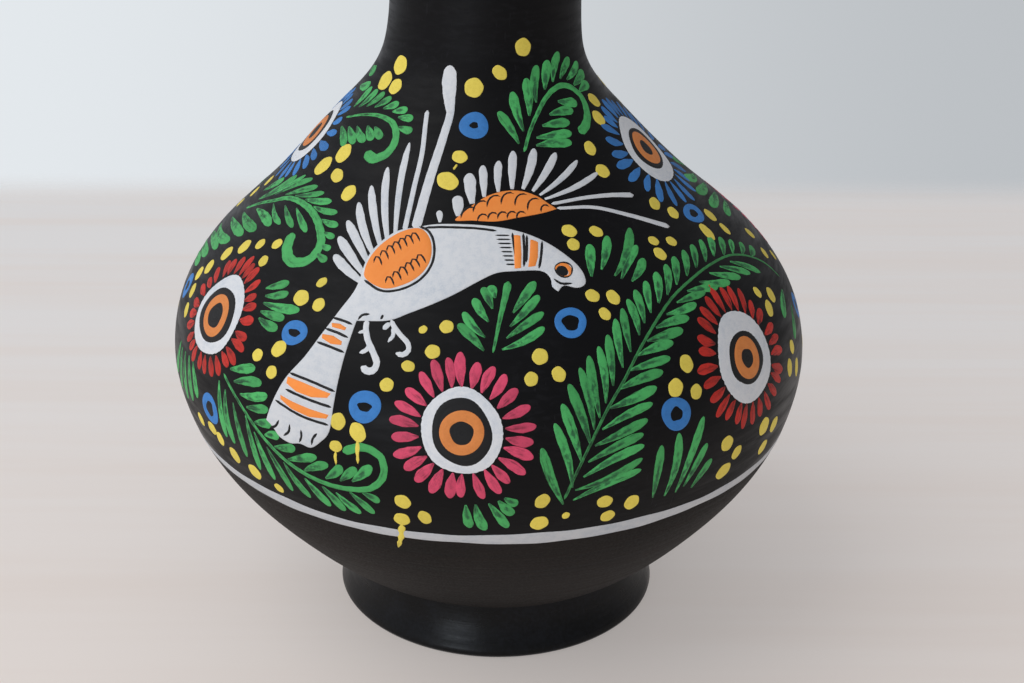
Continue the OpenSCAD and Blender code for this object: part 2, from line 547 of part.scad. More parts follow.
// Orange bars across the tail and the collar.
module bird_bars() {
    color("#f28a2e") twice() painted([
        [[-28.3, 118], [-26.5, 118.2], [-24.8, 117.6], [-25, 116.9], [-27.8, 117.1]],
        [[-29.3, 115.5], [-27, 115.6], [-25, 114.8], [-24.9, 113.9], [-27, 113.7],
         [-29.1, 114.5]],
        [[-33.7, 104.8], [-30.5, 104.4], [-25, 103.3], [-25.6, 102], [-28.5, 101.3],
         [-31.5, 101.7], [-33.7, 103]],
        [[-34.6, 100], [-31.8, 99.2], [-28.5, 98.6], [-24.9, 98.2], [-25.4, 97],
         [-28.5, 96.4], [-32, 97.2], [-34.4, 98.8]],
        [[8.3, 137.3], [9.6, 137.2], [8.9, 133.4], [8.2, 130.7], [7, 130.6],
         [7.6, 134]],
        [[12.2, 136.2], [13.6, 135.7], [12.4, 132.6], [11.4, 130.9], [10, 130.8],
         [11, 133]]], 1);
}

module bird_legs() {
    color("#cfd6e0") twice() painted([
        ribbon([[-22.3, 120.2], [-21.3, 118], [-19.8, 115.4], [-18.5, 112.8],
                [-18.4, 110.8], [-19.6, 109.9], [-21.2, 110.5]], 1.9, 1.8),
        ribbon([[-20.6, 116.6], [-20.8, 115], [-22.2, 114.2]], 1.5, 1),
        ribbon([[-17.8, 119.6], [-15.8, 118.9], [-14.1, 117.2], [-13.4, 115.6],
                [-14, 114.4], [-15.8, 114]], 1.4, 1.6),
        ribbon([[-16.6, 118.9], [-16.2, 117.4], [-17.3, 116.2]], 1.3, 0.9)]);
}

eye_place = [17.8, 129.9];
eye_pupil = oval([17.3, 129.6], 1.45, 1.4, 8);
module bird_eye() {
    color("#f0852c") twice() difference() {
        painted([oval(eye_place, 2.2, 2.1, 10)], 1);
        cutter(eye_pupil);
    }
}

function pen(list) = [for (v = list) ribbon(v, pen_w, pen_w)];

// Black lines across the tail, the collar, the beak and the tail's tip.
module bird_pen_lines() {
    hatch = [for (i = [0 : 7]) [[5 + i * 0.15, 131.6 + i * 0.8], [7.4, 131.5 + i * 0.8]]];
    color("#0e0e10") twice() painted(concat([eye_pupil], pen(concat(hatch, [
        [[-13.4, 137.9], [-12, 136.7], [-10.9, 134.2], [-11.1, 131.1], [-12.8, 128.5],
         [-15.8, 126.5], [-20, 125.3]],
        [[-10.5, 138.9], [-6, 139], [-1, 139], [4, 138.4]],
        [[-28.4, 119], [-24, 118.4]], [[-29, 116.6], [-24.1, 115.7]],
        [[-29.8, 113.6], [-24.1, 112.6]], [[-33.4, 105.6], [-29, 105], [-24.4, 103.9]],
        [[-33.6, 101.6], [-29, 100.7], [-24.7, 100.1]],
        [[-35.4, 98.2], [-30, 96.2], [-25, 95.6]],
        [[10.6, 137.4], [10, 134], [9.2, 131]], [[11.4, 137], [10.4, 133.4], [9.9, 131.8]],
        [[14.8, 135.6], [13.6, 132.8], [12.4, 130.5]], [[7.9, 137.6], [7.9, 131.2]],
        [[-34.4, 93.4], [-35, 91.6], [-36.2, 90.6]],
        [[-32.2, 93.2], [-32.3, 91.4], [-33.4, 89.6]],
        [[-30, 92.6], [-29.9, 90.8], [-30.3, 89.2]],
        [[-27, 92.8], [-27.8, 91], [-28, 89.4]],
        [[15, 128.4], [16, 127.5], [18.6, 127.2]]]))), 1);
}

// Part of a pen arch below its top place, its legs turned to the right.
function arch(top, half, high, turn, start, end) =
    [for (i = [0 : 4])
        let (t = start + (end - start) * i / 4, x = half * cos(t), y = high * (sin(t) - 1))
        moved(top, x * cos(turn) - y * sin(turn), x * sin(turn) + y * cos(turn))];

// Black feather marks on the two orange patches: places of their tops.
module bird_scallops() {
    shoulder = [
        [-24, 131.7], [-23, 133], [-21.9, 134.1], [-20.7, 135], [-19.5, 135.8],
        [-18.2, 136.5], [-16.8, 137.1],
        [-19.9, 128.3], [-18.7, 129.4], [-17.6, 130.4], [-16.5, 131.3],
        [-15.4, 132.1], [-14.3, 133]];
    wing = [[-2.4, 142.9], [0.9, 144.2], [4.8, 145.3], [8.8, 145.8], [12.6, 145.4],
            [15.8, 144.3]];
    wing_edge = [[18.2, 142.8], [0.9, 141.5], [3.6, 141.8], [6.2, 141.9],
                 [8.7, 141.9], [11.2, 141.8]];
    color("#0e0e10") twice()
        painted(pen([for (p = shoulder) arch(p, 1, 2.9, 25, 0, 150)]), 2);
    color("#0e0e10") twice()
        painted(pen(concat([for (p = wing) arch(p, 2.5, 3.4, 0, 180, 60)],
                           [for (p = wing_edge) arch(p, 1.5, 2.1, 0, 180, 40)])), 1);
}

foot_ring();
lower_bowl();
upper_bowl();
neck();
lip();
belly_line();
petals_pink();
petals_red();
petals_blue();
flower_discs();
flower_pupils();
flower_rings();
blue_rings();
dots_front();
dots_back();
paint_drips();
fern_upper_left();
fern_middle_left();
fern_left_edge();
fern_lower_left();
fern_upper_right();
fern_large_right();
fern_under_bird();
leaf_fans();
bird_body();
bird_near_feathers();
bird_far_feathers();
bird_shoulder_patch();
bird_wing_patch();
bird_bars();
bird_legs();
bird_eye();
bird_pen_lines();
bird_scallops();
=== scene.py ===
import math
import random

import bmesh
import bpy
import numpy as np
from mathutils import Matrix, Vector
from mathutils.geometry import delaunay_2d_cdt


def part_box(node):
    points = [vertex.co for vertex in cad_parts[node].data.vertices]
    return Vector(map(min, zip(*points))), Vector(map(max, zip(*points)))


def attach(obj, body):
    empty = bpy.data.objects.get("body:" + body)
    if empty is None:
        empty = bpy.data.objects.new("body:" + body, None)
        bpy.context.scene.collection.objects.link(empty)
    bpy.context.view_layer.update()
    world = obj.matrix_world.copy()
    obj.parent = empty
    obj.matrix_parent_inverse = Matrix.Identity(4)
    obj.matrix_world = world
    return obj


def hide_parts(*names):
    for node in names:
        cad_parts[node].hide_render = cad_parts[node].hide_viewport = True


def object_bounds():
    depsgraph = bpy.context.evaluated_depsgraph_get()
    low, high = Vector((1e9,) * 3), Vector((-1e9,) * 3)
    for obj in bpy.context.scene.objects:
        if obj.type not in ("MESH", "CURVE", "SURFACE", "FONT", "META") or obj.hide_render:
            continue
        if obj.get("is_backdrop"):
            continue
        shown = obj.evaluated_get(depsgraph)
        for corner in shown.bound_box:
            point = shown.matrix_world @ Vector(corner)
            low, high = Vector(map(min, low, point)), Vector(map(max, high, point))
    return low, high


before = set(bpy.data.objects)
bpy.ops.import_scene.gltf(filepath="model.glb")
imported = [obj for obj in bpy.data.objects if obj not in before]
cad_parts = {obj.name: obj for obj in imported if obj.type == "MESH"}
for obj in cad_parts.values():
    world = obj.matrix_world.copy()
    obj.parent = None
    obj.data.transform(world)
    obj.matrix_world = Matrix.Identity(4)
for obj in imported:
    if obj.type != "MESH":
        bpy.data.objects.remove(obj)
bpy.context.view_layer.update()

mm = 0.001
degree = math.pi / 180
random.seed(7)

# Places on the wall are [azimuth in degrees from the front, height in mm].


wall = {
    "clayNodes": ["foot_ring", "lower_bowl", "upper_bowl", "neck", "lip"],
    "smoothing": 2.6,      # mm over which the turned bands are eased
    "lean": [(0, 0), (45, -1.0), (90, -2.4), (125, -3.7), (152, -5.0), (185, -3.7), (255, -3.2)],
    "unevenness": 0.22,    # mm that the hand-made wall waves in and out
    "thickness": 6.0,
}


def curved(t, start, end, leaving, arriving):
    # between two values, with given slopes at both
    return ((2 * t**3 - 3 * t**2 + 1) * start + (t**3 - 2 * t**2 + t) * leaving
            + (3 * t**2 - 2 * t**3) * end + (t**3 - t**2) * arriving)


def smoothThrough(knots, places):
    xs = np.array([k[0] for k in knots], float)
    ys = np.array([k[1] for k in knots], float)
    slopes = np.gradient(ys, xs)
    places = np.asarray(places, float)
    i = np.clip(np.searchsorted(xs, places) - 1, 0, len(xs) - 2)
    width = xs[i + 1] - xs[i]
    t = np.clip((places - xs[i]) / width, 0, 1)
    return curved(t, ys[i], ys[i + 1], width * slopes[i], width * slopes[i + 1])


def castRadius(nodes, height):
    best = 0
    for name in nodes:
        hit, place, normal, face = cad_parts[name].ray_cast(
            Vector((0.3, 0.00001, height * mm)), Vector((-1, 0, 0)))
        if hit:
            best = max(best, place.x / mm)
    return best


def measureWall(nodes, low, high):
    heights = np.arange(low, high + 0.5, 1.0)
    radii = np.array([castRadius(nodes, h) for h in np.clip(heights, low + 0.05, high - 0.05)])
    return heights, radii


def eased(heights, radii, width):
    reach = np.arange(-12, 13)
    weights = np.exp(-(reach / width) ** 2 / 2)
    head = 2 * radii[0] - radii[12:0:-1]
    tail = 2 * radii[-1] - radii[-2:-14:-1]
    return heights, np.convolve(np.concatenate([head, radii, tail]), weights / weights.sum(), "valid")


bodyHeights, bodyRadii = eased(*measureWall(["lower_bowl", "upper_bowl", "neck"], 16, 243),
                               wall["smoothing"])


def radiusAt(height):
    return np.interp(height, bodyHeights, bodyRadii)


def slopeAt(height):
    return (radiusAt(np.asarray(height) + 0.8) - radiusAt(np.asarray(height) - 0.8)) / 1.6


def flatAt(height):
    return 1 / np.sqrt(1 + slopeAt(height) ** 2)


def leanAt(height):
    return smoothThrough(wall["lean"], height)


def wavesAt(azimuth, height):
    a = np.asarray(azimuth) * degree
    h = np.asarray(height)
    return wall["unevenness"] * (np.sin(2 * a + 0.7 + h / 41) + 0.6 * np.sin(3 * a - 1.1 + h / 23)
                                 + 0.3 * np.sin(5 * a + 2.0 - h / 13))


def onWall(azimuth, height, lift=0.0):
    # rows of x, y, z in metres, lifted square to the wall by some mm
    azimuth, height, lift = np.broadcast_arrays(
        np.asarray(azimuth, float), np.asarray(height, float), np.asarray(lift, float))
    c, d = flatAt(height), slopeAt(height)
    r = radiusAt(height) + wavesAt(azimuth, height) + lift * c
    a = azimuth * degree
    return np.stack([r * np.sin(a) + leanAt(height), -r * np.cos(a), height - lift * c * d], -1) * mm


def moved(place, across, up):
    # a place moved by some mm across and up the wall
    height = place[1] + up * flatAt(place[1])
    return np.array([place[0] + across / radiusAt(place[1]) / degree, height])


def reach(start, end):
    middle = (start[1] + end[1]) / 2
    return np.array([(end[0] - start[0]) * degree * radiusAt(middle),
                     (end[1] - start[1]) / flatAt(middle)])


print("wall measured:", len(bodyHeights), "heights, widest", round(float(bodyRadii.max()), 1), "mm")


class Wire:
    # a node's output that takes part in Python sums
    def __init__(self, tree, socket):
        self.tree = tree
        self.socket = socket

    def maths(self, operation, first, second):
        made = self.tree.nodes.new("ShaderNodeMath")
        made.operation = operation
        for slot, value in zip(made.inputs, (first, second)):
            if isinstance(value, Wire):
                self.tree.links.new(value.socket, slot)
            else:
                slot.default_value = value
        return Wire(self.tree, made.outputs[0])

    def __add__(self, other):
        return self.maths("ADD", self, other)

    def __radd__(self, other):
        return self.maths("ADD", other, self)

    def __sub__(self, other):
        return self.maths("SUBTRACT", self, other)

    def __rsub__(self, other):
        return self.maths("SUBTRACT", other, self)

    def __mul__(self, other):
        return self.maths("MULTIPLY", self, other)

    def __rmul__(self, other):
        return self.maths("MULTIPLY", other, self)

    def __pow__(self, other):
        return self.maths("POWER", self, other)


class NodeTree:
    # adds nodes to one tree
    def __init__(self, tree):
        self.tree = tree

    def add(self, kind, settings=None, sockets=None, output=0):
        made = self.tree.nodes.new(kind)
        for key, value in (settings or {}).items():
            if key == "stops":
                ramp = made.color_ramp
                while len(ramp.elements) < len(value):
                    ramp.elements.new(0.5)
                for stop, (place, shade) in zip(ramp.elements, value):
                    stop.position = place
                    stop.color = shade
            else:
                setattr(made, key, value)
        for key, value in (sockets or {}).items():
            if isinstance(value, Wire):
                self.tree.links.new(value.socket, made.inputs[key])
            else:
                made.inputs[key].default_value = value
        return Wire(self.tree, made.outputs[output])

    def coords(self):
        return self.add("ShaderNodeTexCoord", output=3)

    def attribute(self, name, output):
        return self.add("ShaderNodeAttribute", {"attribute_name": name}, output=output)

    def stretched(self, vector, scale):
        return self.add("ShaderNodeVectorMath", {"operation": "MULTIPLY"}, {0: vector, 1: scale})

    def noise(self, vector, scale, detail=3.0, roughness=0.5):
        return self.add("ShaderNodeTexNoise", {},
                        {"Vector": vector, "Scale": scale, "Detail": detail, "Roughness": roughness})

    def ease(self, value, low, high, outLow=0.0, outHigh=1.0):
        return self.add("ShaderNodeMapRange", {"interpolation_type": "SMOOTHSTEP"},
                        {"Value": value, "From Min": low, "From Max": high,
                         "To Min": outLow, "To Max": outHigh})

    def mix(self, factor, first, second):
        return self.add("ShaderNodeMix", {"data_type": "RGBA"}, {0: factor, 6: first, 7: second}, output=2)

    def bump(self, height, strength, distance):
        return self.add("ShaderNodeBump", {},
                        {"Strength": strength, "Distance": distance, "Height": height})


class Finish(NodeTree):
    # one material with a Principled shader
    def __init__(self, name, **constants):
        self.material = bpy.data.materials.new(name)
        self.material.use_nodes = True
        super().__init__(self.material.node_tree)
        self.shader = self.tree.nodes["Principled BSDF"]
        for socket, value in constants.items():
            self.shader.inputs[socket.replace("_", " ")].default_value = value

    def feed(self, socket, wire):
        self.tree.links.new(wire.socket, self.shader.inputs[socket])


def colour(red, green, blue):
    # 0 to 255 screen values to the shader's linear ones
    def linear(v):
        v = v / 255
        return v / 12.92 if v <= 0.04045 else ((v + 0.055) / 1.055) ** 2.4
    return (linear(red), linear(green), linear(blue), 1.0)


slip = {
    "ground": colour(13, 13, 15),
    "worn": colour(36, 36, 40),
    "smooth": 0.34,
    "rough": 0.56,
}


def makeSlip():
    # burnished black slip: level rubbing marks, pale scuffs and a few scratches
    finish = Finish("burnishedSlip", Specular_IOR_Level=0.12)
    place = finish.coords()
    rubbing = finish.noise(finish.stretched(place, (60, 60, 420)), 1.0, 4, 0.6)
    clouds = finish.noise(place, 28, 4, 0.55)
    scuffs = finish.noise(finish.stretched(place, (340, 340, 900)), 1.0, 2, 0.5)
    hair = finish.noise(finish.stretched(place, (900, 900, 120)), 1.0, 2, 0.5)
    scratched = finish.ease(hair, 0.66, 0.74) * finish.ease(clouds, 0.45, 0.62)
    worn = finish.ease(clouds, 0.42, 0.75) * finish.ease(scuffs, 0.45, 0.7)
    finish.feed("Base Color", finish.mix(worn * 0.32 + scratched * 0.35, slip["ground"], slip["worn"]))
    finish.feed("Roughness", finish.ease(rubbing * 0.6 + clouds * 0.4, 0.35, 0.65,
                                         slip["smooth"], slip["rough"]) + scratched * 0.1)
    relief = rubbing * 0.6 + scuffs * 0.25 + scratched * -0.5
    finish.feed("Normal", finish.bump(relief, 0.32, 0.0004))
    return finish.material


rawClay = {
    "dark": colour(15, 13, 12),
    "brown": colour(32, 27, 25),
}


def makeRawClay():
    # smoked clay left matt, with level turning marks and fine grit
    finish = Finish("rawClay", Specular_IOR_Level=0.16)
    place = finish.coords()
    turning = finish.noise(finish.stretched(place, (14, 14, 760)), 1.0, 4, 0.65)
    patches = finish.noise(place, 22, 3, 0.5)
    grit = finish.noise(place, 1500, 2, 0.5)
    shade = finish.ease(turning * 0.55 + patches * 0.45, 0.36, 0.66)
    finish.feed("Base Color", finish.mix(shade, rawClay["dark"], rawClay["brown"]))
    finish.feed("Roughness", finish.ease(turning * 0.5 + grit * 0.5, 0.3, 0.7, 0.58, 0.78))
    finish.feed("Normal", finish.bump(turning * 0.8 + grit * 0.25, 0.22, 0.0005))
    return finish.material


footClay = {
    "dark": colour(7, 8, 10),
    "grey": colour(24, 26, 32),
}


def makeFootClay():
    # rubbed foot: satin, cooler than the bowl, with small dents
    finish = Finish("rubbedFoot", Specular_IOR_Level=0.18)
    place = finish.coords()
    rubbing = finish.noise(finish.stretched(place, (30, 30, 500)), 1.0, 4, 0.6)
    dents = finish.noise(place, 120, 3, 0.55)
    dust = finish.noise(place, 900, 2, 0.6)
    shade = finish.ease(dents * 0.5 + dust * 0.5, 0.42, 0.68)
    finish.feed("Base Color", finish.mix(shade * 0.6, footClay["dark"], footClay["grey"]))
    finish.feed("Roughness", finish.ease(rubbing * 0.6 + dents * 0.4, 0.35, 0.65, 0.24, 0.4))
    finish.feed("Normal", finish.bump(rubbing * 0.5 + dents * 0.5 + dust * 0.1, 0.3, 0.0006))
    return finish.material


def makePaint(name, body, thin, bare=0.5, cover=0.58, fade=0.3, hollow=0.0, mottled=0.0):
    # brushed paint. thin is its colour where the black shows through, bare how much
    # clay the bristles leave, and hollow how much thinner a stroke's middle is
    finish = Finish(name, Specular_IOR_Level=0.3)
    brush = finish.attribute("brush", 1)
    load = finish.attribute("load", 2)
    tint = finish.attribute("tint", 2)
    rim = finish.attribute("rim", 2)
    place = finish.coords()
    bristles = finish.noise(finish.stretched(brush, (0.16, 1.9, 1)), 1.0, 3, 0.6)
    hairs = finish.noise(finish.stretched(brush, (0.25, 6.0, 1)), 1.0, 2, 0.5)
    pools = finish.noise(finish.stretched(brush, (0.5, 0.8, 1)), 1.0, 2, 0.5)
    grain = finish.noise(place, 2600, 2, 0.5)
    dryness = bristles * 0.55 + hairs * 0.25 + pools * 0.2 + (1 - load) * fade * 0.22
    uncovered = finish.ease(dryness, cover, cover + 0.17) * bare
    wash = finish.ease(pools * 0.6 + grain * 0.4, 0.3, 0.7) * 0.4
    if hollow:
        middle = (1 - rim) * finish.ease(load, 1.0, 0.35) * finish.ease(pools, 0.25, 0.6)
        wash = wash + finish.ease(middle, 0.12, 0.62) * hollow
    if mottled:
        wash = wash + finish.ease(finish.noise(place, 75, 3, 0.55), 0.5, 0.74) * mottled
    shade = finish.mix(finish.ease(wash, 0.0, 1.0), body, thin)
    shade = finish.add("ShaderNodeHueSaturation", {}, {"Value": tint, "Color": shade})
    dark = (0.009, 0.009, 0.010, 1.0)
    finish.feed("Base Color", finish.mix(uncovered, shade, dark))
    finish.feed("Roughness", finish.ease(bristles, 0.3, 0.7, 0.5, 0.66))
    relief = (1 - bristles) * 0.6 + (1 - hairs) * 0.3 + grain * 0.1
    finish.feed("Normal", finish.bump(relief, 0.3, 0.00012))
    return finish.material


paints = {
    "white": makePaint("whitePaint", colour(226, 228, 231), colour(184, 195, 208), 0.3, 0.62, 0.1,
                       mottled=0.22),
    "pink": makePaint("pinkPaint", colour(226, 78, 112), colour(160, 52, 78), 0.7, 0.57, 0.6, 0.15),
    "red": makePaint("redPaint", colour(200, 46, 36), colour(124, 26, 22), 0.75, 0.56, 0.7, 0.15),
    "blue": makePaint("bluePaint", colour(58, 128, 200), colour(38, 92, 152), 0.5, 0.6, 0.2),
    "green": makePaint("greenPaint", colour(76, 178, 98), colour(40, 96, 62), 0.75, 0.56, 0.6, 0.5),
    "yellow": makePaint("yellowPaint", colour(238, 216, 92), colour(206, 184, 66), 0.3, 0.64, 0.9),
    "orange": makePaint("orangePaint", colour(255, 152, 70), colour(250, 134, 52), 0.1, 0.7, 0.1),
    "ochre": makePaint("ochrePaint", colour(224, 138, 72), colour(188, 106, 48), 0.35, 0.62, 0.1),
    "black": makePaint("blackPaint", colour(20, 20, 22), colour(12, 12, 13), 0.1, 0.7, 0.1),
}
clays = {"slip": makeSlip(), "raw": makeRawClay(), "foot": makeFootClay()}
print("finishes made:", len(paints) + len(clays))


def gridFaces(rows, columns, roundRows=False, roundColumns=False):
    # four-sided faces between rows of points, closed on themselves where round
    faces = []
    for i in range(rows if roundRows else rows - 1):
        a, b = i * columns, (i + 1) % rows * columns
        for k in range(columns if roundColumns else columns - 1):
            n = (k + 1) % columns
            faces.append((a + k, b + k, b + n, a + n))
    return faces


def addPiece(name, nodes, verts, faces, material, values=None):
    mesh = bpy.data.meshes.new(name)
    mesh.from_pydata([tuple(v) for v in verts], [], faces)
    shell = bmesh.new()
    shell.from_mesh(mesh)
    bmesh.ops.recalc_face_normals(shell, faces=shell.faces)
    shell.to_mesh(mesh)
    shell.free()
    mesh.polygons.foreach_set("use_smooth", [True] * len(mesh.polygons))
    for key, rows in (values or {}).items():
        rows = np.asarray(rows, float)
        if rows.ndim == 2:
            mesh.attributes.new(key, "FLOAT_VECTOR", "POINT").data.foreach_set("vector", rows.ravel())
        else:
            mesh.attributes.new(key, "FLOAT", "POINT").data.foreach_set("value", rows)
    mesh.materials.append(material)
    piece = bpy.data.objects.new(name, mesh)
    bpy.context.scene.collection.objects.link(piece)
    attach(piece, "root")
    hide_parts(*nodes)


clayGrid = {"around": 288, "rowStep": 1.1, "insideStep": 4, "neckStep": 3}


def turned(rows, capped):
    # each row is (radius, height, lift). Without a radius it follows the wall
    verts = []
    count = clayGrid["around"]
    azimuths = np.arange(count) * 360 / count
    for radius, height, lift in rows:
        if radius is None:
            verts.extend(onWall(azimuths, height, lift))
        else:
            r = radius + wavesAt(azimuths, height)
            a = azimuths * degree
            ring = np.stack([r * np.sin(a) + leanAt(height), -r * np.cos(a),
                             np.full(count, float(height))], -1) * mm
            verts.extend(ring)
    faces = gridFaces(len(rows), count, not capped, True)
    if capped:
        last = (len(rows) - 1) * count
        faces.append(tuple(range(count)))
        faces.append(tuple(range(last + count - 1, last - 1, -1)))
    return verts, faces


def wallRows(low, high, lift=0.0, step=None):
    # close rows at both ends keep the shading smooth across the joints
    steps = max(2, int(round(abs(high - low) / (step or clayGrid["rowStep"]))))
    nudge = math.copysign(0.04, high - low)
    inner = [low + (high - low) * i / steps for i in range(1, steps)]
    return [(None, h, lift) for h in [low, low + nudge] + inner + [high - nudge, high]]


def addTurned(name, node, rows, material, capped=False):
    verts, faces = turned(rows, capped)
    addPiece(name, [node], verts, faces, material)


# mm. Rows under and inside are a radius and a height over the lower bowl's underside
section = {
    "seamOverlap": 2,      # the inside wall starts this far past the seam it meets
    "lipStart": 0.5,       # the lip begins this far under its own piece
    "lipRoll": 3.4,        # radius of its rounded edge
    "lipFlare": 1.15,      # a larger number makes it open later
    "under": [(0.4, 0), (12, 0), (24, 0), (31, 0.2), (36, 1.0), (41, 2.4)],
    "wallStart": 17,       # heights where the wall begins outside and inside
    "insideEnd": 30,
    "inside": [(48, 13), (38, 8.4)],
    "floor": (30, 14, 0.4),    # radii of the rows of its flat inside
    "footWide": 8,         # from the foot's outer edge to its hollow
    "footEdge": 2.1,       # radius of the rounding at its bottom
    "footWaist": 0.9,      # how far its side curves in
    "footSunk": 1.6,       # how far it runs on up under the bowl
}


def roundedEdge(middle, radius, first, step, count):
    # rows round an arc, from the first angle on
    angles = [(first + i * step) * degree for i in range(count)]
    return [(middle[0] + radius * math.cos(a), middle[1] + radius * math.sin(a), 0) for a in angles]


def lipRows(start, lipRadius, top):
    # a soft roll that flares out of the neck
    roll, neckRadius = section["lipRoll"], float(radiusAt(start))
    middle = (lipRadius - roll, top - roll)
    rows = [(None, start, 0.0)]
    for s in np.arange(1, 14) / 14:
        opened = s * s * (3 - 2 * s) * 0.35 + s * 0.65
        rows.append((neckRadius + (lipRadius - 0.35 - neckRadius) * opened ** section["lipFlare"],
                     start + (middle[1] - 1.2 - start) * s, 0))
    rows += roundedEdge(middle, roll, -18, 12, 19)
    inner, innerRadius = middle[0] - roll, neckRadius - wall["thickness"]
    for s in np.arange(1, 8) / 8:
        rows.append((inner + (innerRadius - inner) * s**0.8,
                     middle[1] - 2 + (start - middle[1] + 2) * s, 0))
    return rows + [(None, start, -wall["thickness"])]


def footRows(radius, top, neckRadius):
    # a splayed ring with a soft bottom edge, hollow inside
    edge, hollow = section["footEdge"], radius - section["footWide"]
    rows = [(hollow, 0, 0), (hollow + 3, 0, 0), (radius - edge - 0.1, 0, 0)]
    rows += roundedEdge((radius - edge - 0.1, edge), edge, -76, 14, 6)
    for s in np.arange(1, 15) / 15:
        waist = section["footWaist"] * math.sin(math.pi * s)
        rows.append((radius - 0.1 + (neckRadius - radius) * s - waist,
                     edge + (top + section["footSunk"] - edge) * s, 0))
    return rows + [(neckRadius - 0.6, top + 2.6, 0), (neckRadius - 5, top + 0.6, 0),
                   (hollow - 2.5, top - 2.6, 0), (hollow - 1.6, 6, 0), (hollow - 0.6, 1, 0)]


def buildClay():
    inside, past, step = -wall["thickness"], section["seamOverlap"], clayGrid["insideStep"]
    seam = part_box("upper_bowl")[0].z / mm
    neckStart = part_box("neck")[0].z / mm
    lipLow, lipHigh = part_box("lip")
    neckEnd = lipLow.z / mm - section["lipStart"]
    # upper bowl and neck: outer wall up, inner wall down
    bowl = wallRows(seam, neckStart) + wallRows(neckStart + past, seam + past, inside, step)
    addTurned("upperBowl", "upper_bowl", bowl, clays["slip"])
    neck = wallRows(neckStart, neckEnd)
    neck += wallRows(neckEnd, neckStart + past, inside, clayGrid["neckStep"])
    addTurned("neckTube", "neck", neck, clays["slip"])
    lip = lipRows(neckEnd, lipHigh.x / mm, lipHigh.z / mm)
    addTurned("rolledLip", "lip", lip, clays["slip"])
    # lower bowl: flat floor, underside, wall up to the seam, inside down again
    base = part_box("lower_bowl")[0].z / mm
    bowl = [(r, base + h, 0) for r, h in section["under"]]
    bowl += wallRows(section["wallStart"], seam)
    bowl += wallRows(seam + past, section["insideEnd"], inside, step)
    bowl += [(r, base + h, 0) for r, h in section["inside"]]
    bowl += [(r, base + wall["thickness"], 0) for r in section["floor"]]
    addTurned("lowerBowl", "lower_bowl", bowl, clays["raw"], capped=True)
    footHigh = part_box("foot_ring")[1] / mm
    neckRadius = castRadius(["foot_ring"], footHigh.z - 1.2)
    addTurned("footRing", "foot_ring",
              footRows(footHigh.x, footHigh.z, neckRadius), clays["foot"])
    print("clay pieces made")


buildClay()


coat = {
    "thick": 0.085,    # mm that a loaded stroke stands up
    "sunk": 0.05,      # mm that its edge goes into the clay
    "layer": 0.08,     # mm from one coat to the next
    "fine": 0.05,      # mm that a thin drawn line stands up
}


def raised(level, share, thick=None):
    # mm over the clay of paint on the numbered coat. share is 0 at its edge, 1 at full height
    thick = coat["thick"] if thick is None else thick
    return level * coat["layer"] - coat["sunk"] + (coat["sunk"] + thick) * share


def dome(s):
    # 1 in the middle, falling round to 0 at 1 and -1
    return math.sqrt(max(0.0, 1 - s * s))


class Coat:
    # the strokes of one piece, gathered before its mesh is made
    def __init__(self):
        self.verts, self.faces = [], []
        self.brush, self.load, self.tint, self.rim = [], [], [], []
        self.seed = 0

    def add(self, places, lifts, faces, brush, load, tint=None, rim=None):
        first = len(self.verts)
        places = np.asarray(places, float)
        self.verts.extend(onWall(places[:, 0], places[:, 1], lifts))
        self.faces.extend([tuple(first + i for i in face) for face in faces])
        self.seed += 1
        tint = random.uniform(0.93, 1.06) if tint is None else tint
        seed = self.seed * 3.7
        self.brush.extend([(b[0] + seed * 5, b[1] + seed * 2, seed) for b in brush])
        self.load.extend(load)
        self.rim.extend(rim or [1.0] * len(places))
        self.tint.extend([tint] * len(places))

    def finish(self, name, node, shade):
        addPiece(name, [node], self.verts, self.faces, paints[shade],
                 {"brush": self.brush, "load": self.load, "tint": self.tint, "rim": self.rim})


acrossSteps = [-1.0, -0.82, -0.42, 0.0, 0.42, 0.82, 1.0]


def sweep(layer, line, widths, loads, level=0, thick=None, rough=0.05, tint=None):
    # one brush stroke: a domed ribbon along a line of places
    thick = coat["thick"] if thick is None else thick
    line = [np.asarray(p, float) for p in line]
    count, wide = len(line), len(acrossSteps)
    places, lifts, brush, load, rim = [], [], [], [], []
    along = 0.0
    phase = random.uniform(0, 50)
    for i, place in enumerate(line):
        step = reach(line[max(i - 1, 0)], line[min(i + 1, count - 1)])
        step /= max(np.linalg.norm(step), 1e-6)
        if i:
            along += float(np.linalg.norm(reach(line[i - 1], place)))
        left = widths[i] / 2 * (1 + rough * math.sin(along * 2.1 + phase))
        right = widths[i] / 2 * (1 + rough * math.sin(along * 1.7 + phase * 2))
        for s in acrossSteps:
            w = s * (right if s > 0 else left)
            places.append(moved(place, -step[1] * w, step[0] * w))
            lifts.append(raised(level, dome(s), thick * min(1.0, widths[i] / 1.2)))
            brush.append((along, w))
            load.append(loads[i])
            rim.append(abs(s))
    faces = gridFaces(count, wide, roundColumns=True)
    faces += [tuple(range(wide)), tuple(reversed(range((count - 1) * wide, count * wide)))]
    layer.add(places, np.array(lifts), faces, brush, load, tint, rim)


leafSteps = [0, 0.08, 0.18, 0.3, 0.42, 0.54, 0.65, 0.74, 0.81, 0.87, 0.92, 0.96, 0.985, 1.0]


def bulge(t, peak, base):
    # a leaf's width along its length, from base at its root to 1 at its peak
    if t < peak:
        return base + (1 - base) * math.sin(math.pi / 2 * t / peak)
    return dome((t - peak) / (1 - peak))


